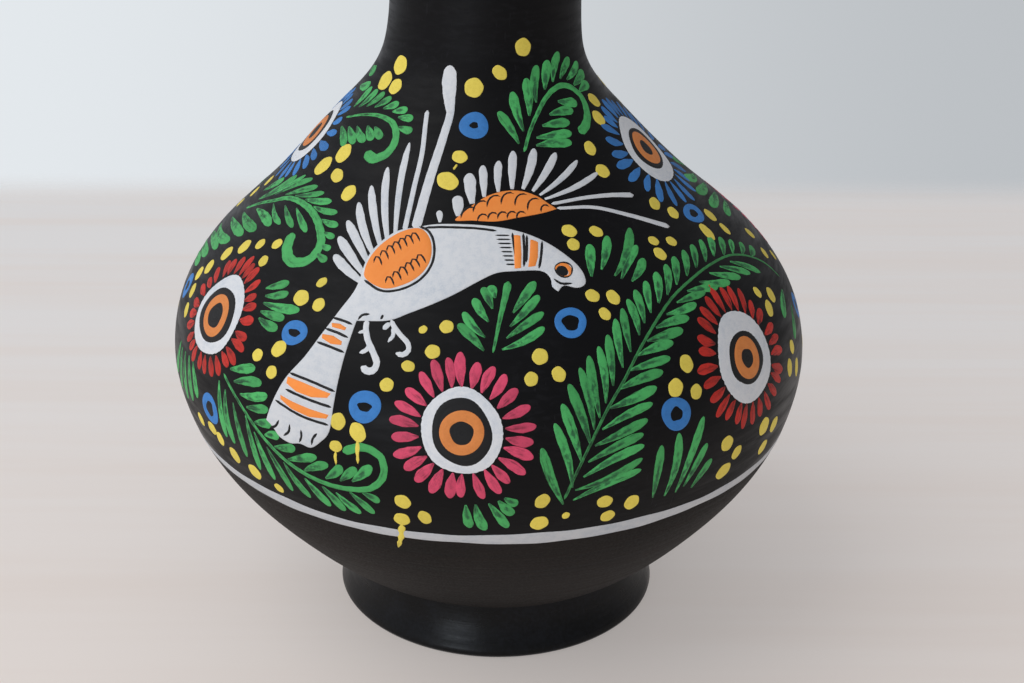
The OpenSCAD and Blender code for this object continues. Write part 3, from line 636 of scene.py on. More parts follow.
def stroke(layer, start, end, width, peak, base, bend, tint):
    # one press of the brush, from a narrow root to a round tip
    start, end = np.asarray(start, float), np.asarray(end, float)
    step = reach(start, end)
    line, widths = [], []
    for t in leafSteps:
        curve = bend * math.sin(math.pi * t)
        line.append(moved(start + (end - start) * t, -step[1] * curve, step[0] * curve))
        widths.append(max(0.06, width * bulge(t, peak, base)))
    sweep(layer, line, widths, [0.15 + 0.85 * t for t in leafSteps], tint=tint)


def drawn(knots, count):
    # an even line of places along a smooth curve through the knots
    knots = [np.asarray(k, float) for k in knots]
    lengths = [0.0]
    for a, b in zip(knots, knots[1:]):
        lengths.append(lengths[-1] + float(np.linalg.norm(reach(a, b))))
    at = np.linspace(0, lengths[-1], count)
    xs = smoothThrough(list(zip(lengths, [k[0] for k in knots])), at)
    zs = smoothThrough(list(zip(lengths, [k[1] for k in knots])), at)
    return [np.array(p) for p in zip(xs, zs)], lengths[-1]


def ribbon(layer, knots, start, end, level=0, thick=None, rough=0.06, loads=(1.0, 1.0), tint=None):
    # a painted line with round ends, from one width to another
    length = drawn(knots, 2)[1]
    count = max(6, int(length / 0.8))
    line = drawn(knots, count)[0]
    widths = start + (end - start) * np.linspace(0, 1, count) ** 1.6
    gone = np.linspace(0, length, count)
    for left, width in ((gone, start), (length - gone, end)):
        opened = np.clip(left / (width / 2 + 1e-6), 0, 1)
        widths = widths * np.maximum(0.25, np.sqrt(1 - (1 - opened) ** 2))
    sweep(layer, line, list(widths), list(np.linspace(*loads, count)), level, thick, rough, tint)


rounds = {
    "around": 40,
    "discSteps": [0.3, 0.58, 0.8, 0.92, 0.98, 1.0],
    "ringSteps": [0.0, 0.07, 0.25, 0.5, 0.75, 0.93, 1.0],
}
roundAngles = [2 * math.pi * k / rounds["around"] for k in range(rounds["around"])]


def disc(layer, place, across, up, level=0, turn=0.0, rough=0.03, tint=None):
    # a filled round of paint, painted in circles round its middle point
    around, steps = rounds["around"], rounds["discSteps"]
    phase = random.uniform(0, 6.28)
    c, d = math.cos(turn), math.sin(turn)
    places, lifts, brush = [moved(place, 0, 0)], [raised(level, 1)], [(0, 0)]
    for f in steps:
        for a in roundAngles:
            wave = 1 + rough * (math.sin(2 * a + phase) + 0.5 * math.sin(5 * a + phase * 3))
            x, y = across * f * wave * math.cos(a), up * f * wave * math.sin(a)
            places.append(moved(place, x * c - y * d, x * d + y * c))
            lifts.append(raised(level, dome(max(0.0, (f - 0.7) / 0.3))))
            brush.append((a * across * 0.7, f * across))
    faces = [tuple(1 + i for i in face) for face in gridFaces(len(steps), around, False, True)]
    faces += [(0, 1 + k, 1 + (k + 1) % around) for k in range(around)]
    faces.append(tuple(range(len(steps) * around, (len(steps) - 1) * around, -1)))
    layer.add(places, np.array(lifts), faces, brush, [1.0] * len(places), tint)


def ring(layer, place, outer, inner, level=0, rough=0.05, shift=(0, 0)):
    # a painted ring with an uneven hole
    steps = rounds["ringSteps"]
    phase = random.uniform(0, 6.28)
    places, lifts, brush = [], [], []
    for f in steps:
        for a in roundAngles:
            wave = 1 + rough * (math.sin(2 * a + phase) + 0.6 * math.sin(3 * a + phase * 2))
            hole = 1 + rough * 1.6 * (math.sin(3 * a - phase) + 0.6 * math.sin(5 * a + phase * 2))
            near = np.array(shift) + np.array(inner) * hole * (math.cos(a), math.sin(a))
            far = np.array(outer) * wave * (math.cos(a), math.sin(a))
            places.append(moved(place, *(near + (far - near) * f)))
            lifts.append(raised(level, dome(2 * f - 1)))
            brush.append((a * outer[0] * 0.7, f * (outer[0] - inner[0])))
    faces = gridFaces(len(steps), rounds["around"], True, True)
    layer.add(places, np.array(lifts), faces, brush, [1.0] * len(places))


def roundedOutline(outline, sharp, spacing):
    # a closed line of places, smooth except at the numbered corners
    count = len(outline)
    points = []
    for i in range(count):
        a, b, c, d = (np.array(outline[(i + k) % count], float) for k in (-1, 0, 1, 2))
        leaving = c - b if i in sharp else (c - a) / 2
        arriving = c - b if (i + 1) % count in sharp else (d - b) / 2
        steps = max(1, int(np.linalg.norm(reach(b, c)) / spacing))
        points += [curved(k / steps, b, c, leaving, arriving) for k in range(steps)]
    return points


def fill(layer, outline, sharp=(), level=0, grid=1.3, spacing=0.7, heading=0.0, tint=None):
    # a filled patch of paint inside an outline
    edge = roundedOutline(outline, set(sharp), spacing)
    middle = np.mean(edge, axis=0)
    scale = radiusAt(middle[1]) * degree
    flat = [Vector(((p[0] - middle[0]) * scale, p[1] - middle[1])) for p in edge]
    xs, ys = [p.x for p in flat], [p.y for p in flat]

    def edgeDistance(x, y):
        best = 1e9
        inside = False
        for i in range(len(flat)):
            a, b = flat[i - 1], flat[i]
            if (a.y > y) != (b.y > y) and x < (b.x - a.x) * (y - a.y) / (b.y - a.y) + a.x:
                inside = not inside
            dx, dy = b.x - a.x, b.y - a.y
            t = max(0.0, min(1.0, ((x - a.x) * dx + (y - a.y) * dy) / (dx * dx + dy * dy + 1e-12)))
            best = min(best, (a.x + t * dx - x) ** 2 + (a.y + t * dy - y) ** 2)
        return math.sqrt(best) if inside else -math.sqrt(best)

    # a second line just inside the rim keeps the painted edge even
    count, inset = len(flat), 0.22
    points = list(flat)
    for i in range(count):
        along = flat[(i + 1) % count] - flat[i - 1]
        square = Vector((-along.y, along.x)).normalized() * inset
        for inner in (flat[i] + square, flat[i] - square):
            if edgeDistance(inner.x, inner.y) > 0.17:
                points.append(inner)
                break
    y, row = min(ys), 0
    while y < max(ys):
        x = min(xs) + (row % 2) * grid / 2
        while x < max(xs):
            if edgeDistance(x, y) > inset + grid * 0.5:
                points.append(Vector((x, y)))
            x += grid
        y += grid * 0.87
        row += 1
    rimEdges = [(i, (i + 1) % count) for i in range(count)]
    meshed = delaunay_2d_cdt(points, rimEdges, [], 1, 0.0001)
    verts, faces, origins = meshed[0], [tuple(f) for f in meshed[2]], meshed[3]
    places = [(middle[0] + v.x / scale, middle[1] + v.y) for v in verts]
    lifts = [raised(level, min(1.0, max(0.0, edgeDistance(v.x, v.y)) / 0.2)) for v in verts]
    # the same faces again just under the clay's surface close the patch
    rimVerts = {i for i, before in enumerate(origins) if any(b < count for b in before)}
    under = {}
    for i in range(len(verts)):
        under[i] = i if i in rimVerts else len(places)
        if i not in rimVerts:
            places.append(places[i])
            lifts.append(raised(level, 0) - 0.02)
    faces += [tuple(under[i] for i in reversed(f)) for f in faces
              if not all(i in rimVerts for i in f)]
    c, s = math.cos(heading), math.sin(heading)
    brush = []
    for place in places:
        x, y = (place[0] - middle[0]) * scale, place[1] - middle[1]
        brush.append((x * c + y * s, y * c - x * s))
    layer.add(places, np.array(lifts), faces, brush, [1.0] * len(places), tint)


def behind(place):
    # the same place on the back, turned over left to right and a little off
    return (180 - place[0] + random.uniform(-0.3, 0.3), place[1] + random.uniform(-0.3, 0.3))


def inFront(place):
    return place


bothSides = (inFront, behind)


bellyLine = {"height": 66.2, "width": 3.3, "lift": 0.09, "tint": 0.75, "steps": 480}


def hump(azimuth, middle, wide):
    return math.exp(-((azimuth - middle) / wide) ** 2)


def bellyLineAt(azimuth):
    # height of the line, which rises a little towards the left
    a = azimuth * degree
    return (bellyLine["height"] + 1.6 * hump(azimuth, -70, 34) + 0.6 * hump(azimuth, -40, 14)
            - 0.75 * hump(azimuth, 12, 22) + 0.35 * math.sin(2 * a + 0.4) + 0.25 * math.sin(5 * a + 1.1))


def buildBellyLine():
    layer, count = Coat(), bellyLine["steps"]
    places, lifts, brush, load = [], [], [], []
    for i in range(count):
        azimuth = i * 360 / count - 180
        a = azimuth * degree
        swell = (1 + 0.12 * math.sin(7 * a + 0.5) + 0.08 * math.sin(17 * a) + 0.05 * math.sin(41 * a + 2)
                 + 0.25 * hump(azimuth, 20, 18))
        half = bellyLine["width"] / 2 * swell
        for s in acrossSteps:
            places.append((azimuth, bellyLineAt(azimuth) + s * half))
            lifts.append(raised(0, dome(s), bellyLine["lift"]))
            brush.append((a * 90, s * half))
            load.append(0.8 + 0.2 * math.sin(9 * a))
    faces = gridFaces(count, len(acrossSteps), True, True)
    layer.add(places, np.array(lifts), faces, brush, load, bellyLine["tint"])
    layer.finish("bellyLine", "belly_line", "white")


buildBellyLine()


# place, disc radius, black eye's radii, ochre ring's outer and inner radius, petal reach, petals
flowers = {
    "pink": [((-3.7, 97.5), 10.7, (7.5, 8.7), (5.7, 2.8), 18.9, 26),
             ((105, 117), 10.8, (7.6, 8), (5.6, 2.6), 18, 26),
             ((-102.5, 109), 8, (5.8, 5.8), (4.2, 2), 13, 20)],
    "red": [((-56.3, 110.3), 11.7, (8.8, 8.2), (6.2, 3.4), 18.3, 27),
            ((49.7, 102.8), 12.4, (8.1, 7.1), (5.8, 2.4), 20, 27),
            ((236.3, 110.3), 11.7, (8.8, 8.2), (6.2, 3.4), 18.3, 27),
            ((130.3, 102.8), 12.4, (8.1, 7.1), (5.8, 2.4), 20, 27),
            ((183.7, 97.5), 10.7, (7.5, 8.7), (5.7, 2.8), 18.9, 26)],
    "blue": [((-84, 150), 11.2, (7.6, 7.8), (6, 2.8), 18, 24),
             ((71.5, 148.3), 11.4, (8.3, 7), (5.9, 2.4), 19.5, 25)],
}
petal = {"width": 3.1, "peak": 0.6, "base": 0.16, "bend": 0.05, "shortTop": 1.0, "tints": (0.82, 1.08)}


def buildFlowers():
    discs, pupils, rings = Coat(), Coat(), Coat()
    for shade, group in flowers.items():
        petals = Coat()
        for place, radius, pupil, iris, far, count in group:
            off = random.uniform(0, 6)
            for i in range(count):
                t = (i + 0.5 + random.uniform(-0.12, 0.12)) * 2 * math.pi / count + off
                end = far - 0.5 * (i % 3) + random.uniform(-0.6, 0.6)
                end -= petal["shortTop"] * max(0, math.sin(t))
                start = moved(place, (radius + 0.1) * math.cos(t), (radius + 0.1) * math.sin(t))
                turn = t + random.uniform(-0.03, 0.03)
                tip = moved(place, end * math.cos(turn), end * math.sin(turn))
                width = petal["width"] * random.uniform(0.88, 1.08)
                bend = random.uniform(-petal["bend"], petal["bend"])
                stroke(petals, start, tip, width, petal["peak"], petal["base"], bend,
                       random.uniform(*petal["tints"]))
            disc(discs, place, radius, radius)
            disc(pupils, place, *pupil, level=1)
            ring(rings, place, (iris[0], iris[0]), (iris[1], iris[1]), level=2, rough=0.025)
        petals.finish(shade + "Petals", "petals_" + shade, shade)
    discs.finish("flowerDiscs", "flower_discs", "white")
    pupils.finish("flowerPupils", "flower_pupils", "black")
    rings.finish("flowerRings", "flower_rings", "ochre")
    print("flowers painted")


buildFlowers()


# place, radii across and up, radii of the hole
smallRings = {
    "shared": [((-35, 114.2), (4, 3.6), (1.8, 0.9)), ((-52.7, 86.7), (4.4, 4.7), (1.9, 2.1)),
               ((-19.1, 101.6), (4.4, 4.3), (1.8, 1)), ((-2.3, 160.2), (3.9, 4.4), (1, 0.8)),
               ((16, 120), (4.3, 4.2), (2.1, 2)), ((31.3, 96.3), (4.8, 4.5), (1.8, 1.7)),
               ((64.8, 133), (5, 3.4), (1.9, 1.2))],
    "sides": [((-77, 108), (4.2, 4.2), (1.8, 1.4)), ((80, 101), (4.4, 4.2), (1.9, 1.6)),
              ((-103, 84), (4.2, 4.4), (1.8, 1.6))],
}
# azimuth, height, radius
dots = {
    "shared": [
        (-34, 125, 1.5), (-36.8, 121.2, 2.4), (-32.3, 120.8, 1.9), (-37, 110, 2.3), (-41.2, 107, 1.8),
        (-37.2, 104.4, 1.8), (-23.4, 97, 2.2), (-20, 95.2, 2.4), (-23.7, 90.5, 1.7), (-6.6, 119.9, 1.8),
        (-10.8, 119.1, 1.1), (-8.7, 114.9, 1.9), (-12.6, 111.6, 1.6), (-15.8, 107.2, 1.8),
        (-40, 142.8, 2.4), (-3.8, 168.7, 2.7), (9.3, 172.3, 2), (-6.6, 153.4, 2), (-9.7, 148.2, 2.8),
        (22.5, 137.1, 2), (22.2, 134.4, 1.8), (29.5, 136.2, 1.8), (42, 153, 2.1), (41.8, 147.8, 2.2),
        (53, 138.3, 2.1), (57, 135.2, 2.1), (43.5, 131.9, 1.6), (42.7, 129.3, 2), (48.5, 130.7, 1.7),
        (22.6, 178.5, 2.4), (21.9, 124.5, 1.9), (26, 123.6, 2), (23, 120.8, 1.7), (9.4, 113.9, 2.1),
        (7.5, 109.4, 1.8), (12.1, 110, 1.9), (35.4, 107.2, 2.3), (32, 102.6, 2.4), (35.9, 100.2, 2),
        (42, 83, 2.4), (45, 78.4, 2.1), (42.3, 74, 2.7), (53, 81.4, 2.8), (57.3, 79, 2.4),
        (54.6, 73.5, 2.4), (8.2, 78.6, 2.1), (7.8, 71.4, 2.4), (12, 73.2, 1.1), (18.3, 76, 2.1),
        (19.1, 70.9, 2), (23.1, 74, 2.3), (-57.7, 127.2, 1.8), (-52.4, 124.9, 1.8), (-52.3, 128.8, 1.8),
        (-58, 79.8, 2), (-53.3, 80.2, 2.2), (-51, 78.4, 2.1), (-47.3, 75.6, 2.4), (-42.4, 73.4, 2.5),
        (-37, 71.4, 1.6), (-51, 172, 2.7), (-57.5, 167.4, 2.8), (-47.7, 166.8, 2.3), (-51.7, 150.2, 2.9),
        (-57.3, 146.2, 3), (-48.2, 145.5, 2.3), (-13.3, 77.5, 2.2), (-13.9, 71.5, 2.2), (-10.1, 73, 2)],
    "sides": [
        (-62.5, 125, 2.4), (-67, 121.6, 2.4), (-70.2, 116.7, 2.4), (-73.3, 113.4, 2.3),
        (-71.3, 109.6, 2.2), (-69.8, 104.9, 2.1), (62.4, 114, 1.7), (63.2, 109.4, 2.3), (67, 111.2, 2.3),
        (64.2, 92, 2.4), (67.2, 96.3, 2.1), (68.7, 89.2, 2.4), (56, 158.5, 2.4), (61.5, 162.3, 2.3),
        (62.8, 129, 2.6), (71.2, 130.6, 2.3), (71.2, 127, 1.9), (81.8, 121.6, 2.1), (79.3, 117, 1.9),
        (85, 113.6, 1.7), (82, 88, 2.3), (86.5, 84.5, 2.1), (84.5, 79, 2.3), (104, 99.5, 2.3),
        (108.5, 96, 2.1), (103, 94, 1.8), (-84.5, 97, 2.2), (-88.5, 92, 2), (-82, 90.5, 2.3),
        (-110, 92, 2.3), (-114, 97, 2), (-85.6, 135, 2), (-88.8, 130.6, 2.1), (-92.4, 125.8, 2),
        (112, 146, 2.3), (107, 150.5, 2.1), (104, 156, 2.4), (96, 163, 2.3)],
}
drips = [([(-14.1, 69.6), (-14.6, 65.5), (-15.9, 60)], 1.8, 0.8),
         ([(-20, 93.1), (-20, 90), (-20, 87)], 1.3, 0.6),
         ([(-23.7, 89.1), (-23.8, 87), (-23.8, 85.4)], 1, 0.5),
         ([(-8.1, 150.6), (-7.7, 151.2), (-7.3, 151.8)], 0.7, 0.7)]


def spot(layer, place, radius):
    stretch = random.uniform(0.9, 1.12)
    disc(layer, place, radius * stretch, radius / stretch, turn=random.uniform(0, 3), rough=0.05,
         tint=random.uniform(0.9, 1.05))


def buildRingsAndDots():
    rings, front, back, runs = Coat(), Coat(), Coat(), Coat()
    for side in bothSides:
        for place, outer, hole in smallRings["shared"]:
            ring(rings, side(place), outer, hole)
    for place, outer, hole in smallRings["sides"]:
        ring(rings, place, outer, hole)
    for x, z, radius in dots["shared"] + dots["sides"]:
        spot(front, (x, z), radius)
    for x, z, radius in dots["shared"]:
        spot(back, behind((x, z)), radius)
    for line, start, end in drips:
        ribbon(runs, line, start, end, level=1, rough=0.25, loads=(0.9, 0.1))
    rings.finish("blueRings", "blue_rings", "blue")
    front.finish("yellowDotsFront", "dots_front", "yellow")
    back.finish("yellowDotsBack", "dots_back", "yellow")
    runs.finish("yellowDrips", "paint_drips", "yellow")
    print("rings, dots and drips painted")


buildRingsAndDots()


# stem places, its first and last width, leaf width, and leaves: azimuth and height of the root,
# then of the tip
ferns = {
    "fernUpperLeft": {
        "node": "fern_upper_left", "both": True, "stemWidths": (0.8, 3.8), "leafWidth": 2.9,
        "stem": [
            (-66, 157), (-56, 159), (-45, 159.8), (-37, 158.8), (-32.5, 155.8), (-33, 152.8),
            (-37.5, 150.9), (-42, 151.8)],
        "leaves": [
            (-67, 159.5, -65.5, 165), (-63, 160, -59, 165), (-58, 160.8, -52.5, 164.9),
            (-52.5, 161.2, -46, 164.2), (-47, 161.5, -39.8, 163.3), (-41, 161.3, -33.6, 162.3),
            (-36.5, 160.4, -29, 160.5), (-34, 158.4, -27, 158), (-64, 155, -53.6, 151.6),
            (-59, 155.6, -49.6, 152.8), (-54.5, 156.4, -45.2, 153.8), (-49, 157.2, -42.2, 154.6),
            (-45, 157.4, -38.7, 155.3)]},
    "fernMiddleLeft": {
        "node": "fern_middle_left", "both": True, "stemWidths": (1.2, 4.3), "leafWidth": 2.3,
        "stem": [
            (-80, 129), (-74, 132.4), (-68, 134.9), (-63, 136.9), (-56, 137.7), (-49, 137), (-43, 134.6),
            (-39.6, 131.4), (-40.2, 128.4), (-44.5, 127), (-48, 128.6), (-50.3, 131.8)],
        "leaves": [
            (-74.8, 134, -62.4, 142.8), (-70.6, 135.6, -57.6, 142.9), (-65, 137.2, -53, 142),
            (-60, 138.2, -48.8, 141.3), (-54.5, 138.6, -44.2, 140.2), (-49.6, 138, -40.2, 138.4),
            (-44, 136.2, -37.8, 136), (-41, 134, -37, 133.6), (-39.6, 131.6, -36.3, 131.4),
            (-39.4, 130, -35.6, 129), (-67, 134.4, -56.6, 132.2), (-61, 135.6, -51.4, 132.8),
            (-55.5, 136.3, -46, 133)]},
    "fernLeftEdge": {
        "node": "fern_left_edge", "both": False, "leafWidth": 3.7,
        "leaves": [
            (-73, 131.2, -59.8, 131), (-78.6, 128.2, -63.8, 128.6), (-83.2, 125, -67.4, 126.2),
            (-88, 121, -70.6, 123.4), (-90.5, 117.5, -73.6, 120.2), (-91.6, 114.4, -76.6, 117),
            (-90.6, 111, -78.4, 113.6), (-81, 133.6, -73.4, 139), (-78, 132.2, -67, 141.6),
            (-86, 168, -74, 168), (-80, 163.6, -68.5, 165)]},
    "fernLowerLeft": {
        "node": "fern_lower_left", "both": True, "stemWidths": (1, 2.6), "leafWidth": 2.9,
        "stem": [
            (-48.5, 99), (-43, 93), (-38, 87), (-33, 82), (-28, 79.3), (-22, 78.8), (-18, 80.6),
            (-15.9, 85), (-16.2, 89.6), (-18.8, 91.6), (-22.5, 89.5)],
        "leaves": [
            (-47, 101, -40.9, 104), (-45.5, 98.4, -38.8, 101), (-43.6, 96, -37.2, 98.6),
            (-41.8, 93.4, -36.8, 95.2), (-39.8, 90.2, -36, 91.6), (-37.6, 87.7, -34.4, 89),
            (-35.6, 85.4, -31.2, 87.2), (-33, 82.9, -27.2, 86.4), (-30, 81, -25.2, 85),
            (-26, 80.5, -22.8, 85.4), (-23.4, 80.8, -20.3, 85.6), (-21.3, 81.4, -17.8, 87),
            (-49.6, 96.6, -48.2, 80.8), (-47.6, 95.2, -46, 80.2), (-45.3, 92.8, -43.2, 77.8),
            (-42, 91, -40.4, 75.4), (-40, 87.4, -37.3, 74), (-37.4, 84.4, -33.7, 72.4),
            (-34, 81.6, -30, 72.2), (-30.2, 78.6, -26.3, 71.2), (-27, 77.6, -23.7, 70.8),
            (-24.6, 76.6, -20.8, 71.2), (-22, 77.8, -18.4, 72), (-19.8, 78.4, -17.1, 76.3)]},
    "fernUpperRight": {
        "node": "fern_upper_right", "both": True, "stemWidths": (1, 3.2), "leafWidth": 3.2,
        "stem": [
            (16, 154.2), (20, 158.4), (26, 162.4), (32, 165.3), (38, 167), (44, 167.6), (50, 166.6),
            (53.8, 164), (52, 161), (47, 158.2), (41.2, 156.6)],
        "leaves": [
            (14.8, 156, 8, 163.2), (17.5, 158.6, 15.5, 167.6), (21.5, 161.8, 23.5, 170.6),
            (26.5, 164.6, 31, 173.5), (33, 167.3, 38.6, 174.4), (39, 168.8, 47.2, 176),
            (44.5, 169.2, 56, 173.8), (49, 168.6, 64, 172), (52.5, 167, 67, 169.4),
            (54.5, 165.2, 66, 166.2), (21, 155.3, 35.6, 155), (22, 157, 37.6, 157.1),
            (26, 159.4, 39.2, 159.4), (31, 161.6, 44.2, 161.7), (38, 164.2, 48.8, 163.2)]},
    "fernLargeRight": {
        "node": "fern_large_right", "both": True, "stemWidths": (0.9, 0.8), "leafWidth": 2.8,
        "stemTint": 0.6, "lengthened": 24,
        "stem": [
            (11.6, 78.6), (13.5, 86), (16, 93.4), (19.2, 101), (23, 107), (27.2, 112.6), (32, 117),
            (38, 120.7), (46, 123), (55, 123.9), (64, 122.9), (70, 120.2), (75, 115.8), (77.4, 111)],
        "leaves": [
            (11.1, 79, 8.3, 93.5), (12.6, 84, 10.5, 99.3), (14, 91, 12, 103.6), (15.6, 95, 13.5, 107.8),
            (16.6, 98.4, 15.8, 111), (17.8, 101, 17.8, 113.2), (19.2, 104, 19.9, 114.8),
            (21, 107.4, 22.2, 116.8), (23.4, 110.8, 24.7, 119.6), (25.6, 113.6, 26.9, 121.3),
            (28.2, 116.4, 28.8, 122.8), (30.2, 118.4, 31.4, 124.2), (32.6, 120, 34.9, 125.3),
            (35.4, 121.4, 38.6, 126.4), (38.4, 122.4, 42.3, 127.2), (42, 123.6, 46, 128),
            (46, 124.4, 50, 128.4), (50, 125, 54, 128.6), (54, 125.2, 58, 128.6), (58, 125.2, 62.5, 128),
            (61.5, 124.2, 66, 126.6), (65, 123.2, 69, 124.9), (68.4, 121.8, 72.2, 123),
            (71.4, 120, 75.4, 120.6), (13, 78, 24.3, 83.8), (13.3, 81, 24.5, 87),
            (14.6, 84.6, 24.9, 90.4), (15.4, 88.6, 24.9, 93.4), (16.6, 92.6, 25.9, 96.8),
            (18, 96.4, 27.2, 100.4), (19.7, 101.2, 28.5, 103.9), (21.7, 105.2, 30.4, 107),
            (24.2, 108.8, 32.6, 109.5), (26.6, 111.6, 34.3, 112.5), (29.2, 114, 37.4, 114.4),
            (32, 116.2, 40, 116.3), (35.4, 118.2, 43.4, 118.4), (39, 119.8, 47.4, 119.9),
            (43, 121.2, 51.6, 119.7), (47.5, 122, 56, 119.3), (52, 122.6, 60.4, 118.8),
            (56.5, 122.7, 64.8, 118), (61, 122.3, 69, 116.4)]},
    "fernUnderBird": {
        "node": "fern_under_bird", "both": True, "stemWidths": (0.8, 2.4), "leafWidth": 2.7,
        "stem": [
            (1.5, 115), (3, 121.2), (5.4, 128.4)],
        "leaves": [
            (0, 115.4, -4.6, 120.5), (0.3, 118, -3.7, 122.8), (1, 121, -1.7, 125.4),
            (1.8, 123.4, 0, 127.4), (2.5, 125.4, 1.8, 127.8), (3.1, 115.6, 11, 119.6),
            (4, 117.8, 11.4, 122.4), (4.8, 120, 11.2, 125.6), (5.6, 122.6, 11, 128.2)]},
}
fans = {
    "frontWidth": 3.0, "sideWidth": 3.6,
    "shared": [
        (-46.5, 120.6, -41.5, 123.2), (-45.5, 119.2, -40.2, 121.3), (-45, 117.8, -35.8, 118.8),
        (-44.6, 116, -38.3, 116.3), (-44.2, 114.6, -38.8, 113.9), (27, 73.8, 28, 89.3),
        (29.3, 73.2, 31.4, 91.3), (31.5, 73.3, 36.7, 93.5), (33, 74.4, 37.2, 85.8),
        (34.8, 73, 38.5, 80.4), (-3.5, 78, -3.1, 70.3), (-2, 78.2, -0.7, 69.5), (0, 78.6, 2.8, 70.3),
        (1.5, 79.4, 3.7, 74.7), (2.4, 80.2, 4.4, 78), (23.3, 128, 26.4, 134), (26.2, 129, 31.9, 135),
        (28.5, 127.4, 39.4, 135.5), (29.6, 126.6, 38.2, 132), (31.6, 125.8, 37.7, 129.4)],
    "sides": [
        (-60, 96, -57.6, 86.6), (-62, 96.4, -60.4, 83.8), (-64.2, 96.2, -64, 82), (-66.4, 96, -68, 82.6),
        (-68, 97, -72, 85), (74, 109, 67.6, 104.6), (75, 104, 70, 97), (90, 74, 84, 90),
        (92, 73.4, 89.5, 95), (94, 73.2, 95, 98), (96, 73.4, 100.5, 94), (98, 74, 105, 88),
        (-92, 74, -98, 90), (-90.5, 73.6, -93, 94), (-89, 74, -88, 89), (-87.5, 74.6, -83, 84),
        (95, 134.5, 80.5, 138), (94, 132, 77.5, 134.6), (92.5, 129.6, 76.5, 131.2),
        (92, 127.2, 80, 127.6), (97, 136.6, 88, 141.4)],
}


# tailReach is the part of its own length that a lengthened leaf reaches back
leafShape = {"peak": 0.72, "base": 0.2, "bend": 0.05, "tints": (0.82, 1.14), "tailReach": 0.14}


def leaf(layer, side, row, width, back=0):
    start, end = row[:2], row[2:]
    start = [a + (a - b) * back for a, b in zip(start, end)]
    stroke(layer, side(start), side(end), width * random.uniform(0.9, 1.1), leafShape["peak"],
           leafShape["base"], random.uniform(-leafShape["bend"], leafShape["bend"]),
           random.uniform(*leafShape["tints"]))


def buildFerns():
    for name, fern in ferns.items():
        layer = Coat()
        for side in bothSides if fern["both"] else (inFront,):
            if "stem" in fern:
                start, end = fern["stemWidths"]
                ribbon(layer, [side(p) for p in fern["stem"]], start, end, loads=(0.5, 1.0),
                       tint=fern.get("stemTint"))
            for i, row in enumerate(fern["leaves"]):
                # the first leaves of the long fern reach back to its stem
                back = leafShape["tailReach"] if i < fern.get("lengthened", 0) else 0
                leaf(layer, side, row, fern["leafWidth"], back)
        layer.finish(name, fern["node"], "green")
    layer = Coat()
    for side in bothSides:
        for row in fans["shared"]:
            leaf(layer, side, row, fans["frontWidth"])
    for row in fans["sides"]:
        leaf(layer, inFront, row, fans["sideWidth"])
    layer.finish("leafFans", "leaf_fans", "green")
    print("ferns painted:", len(ferns), "and the loose fans")


buildFerns()


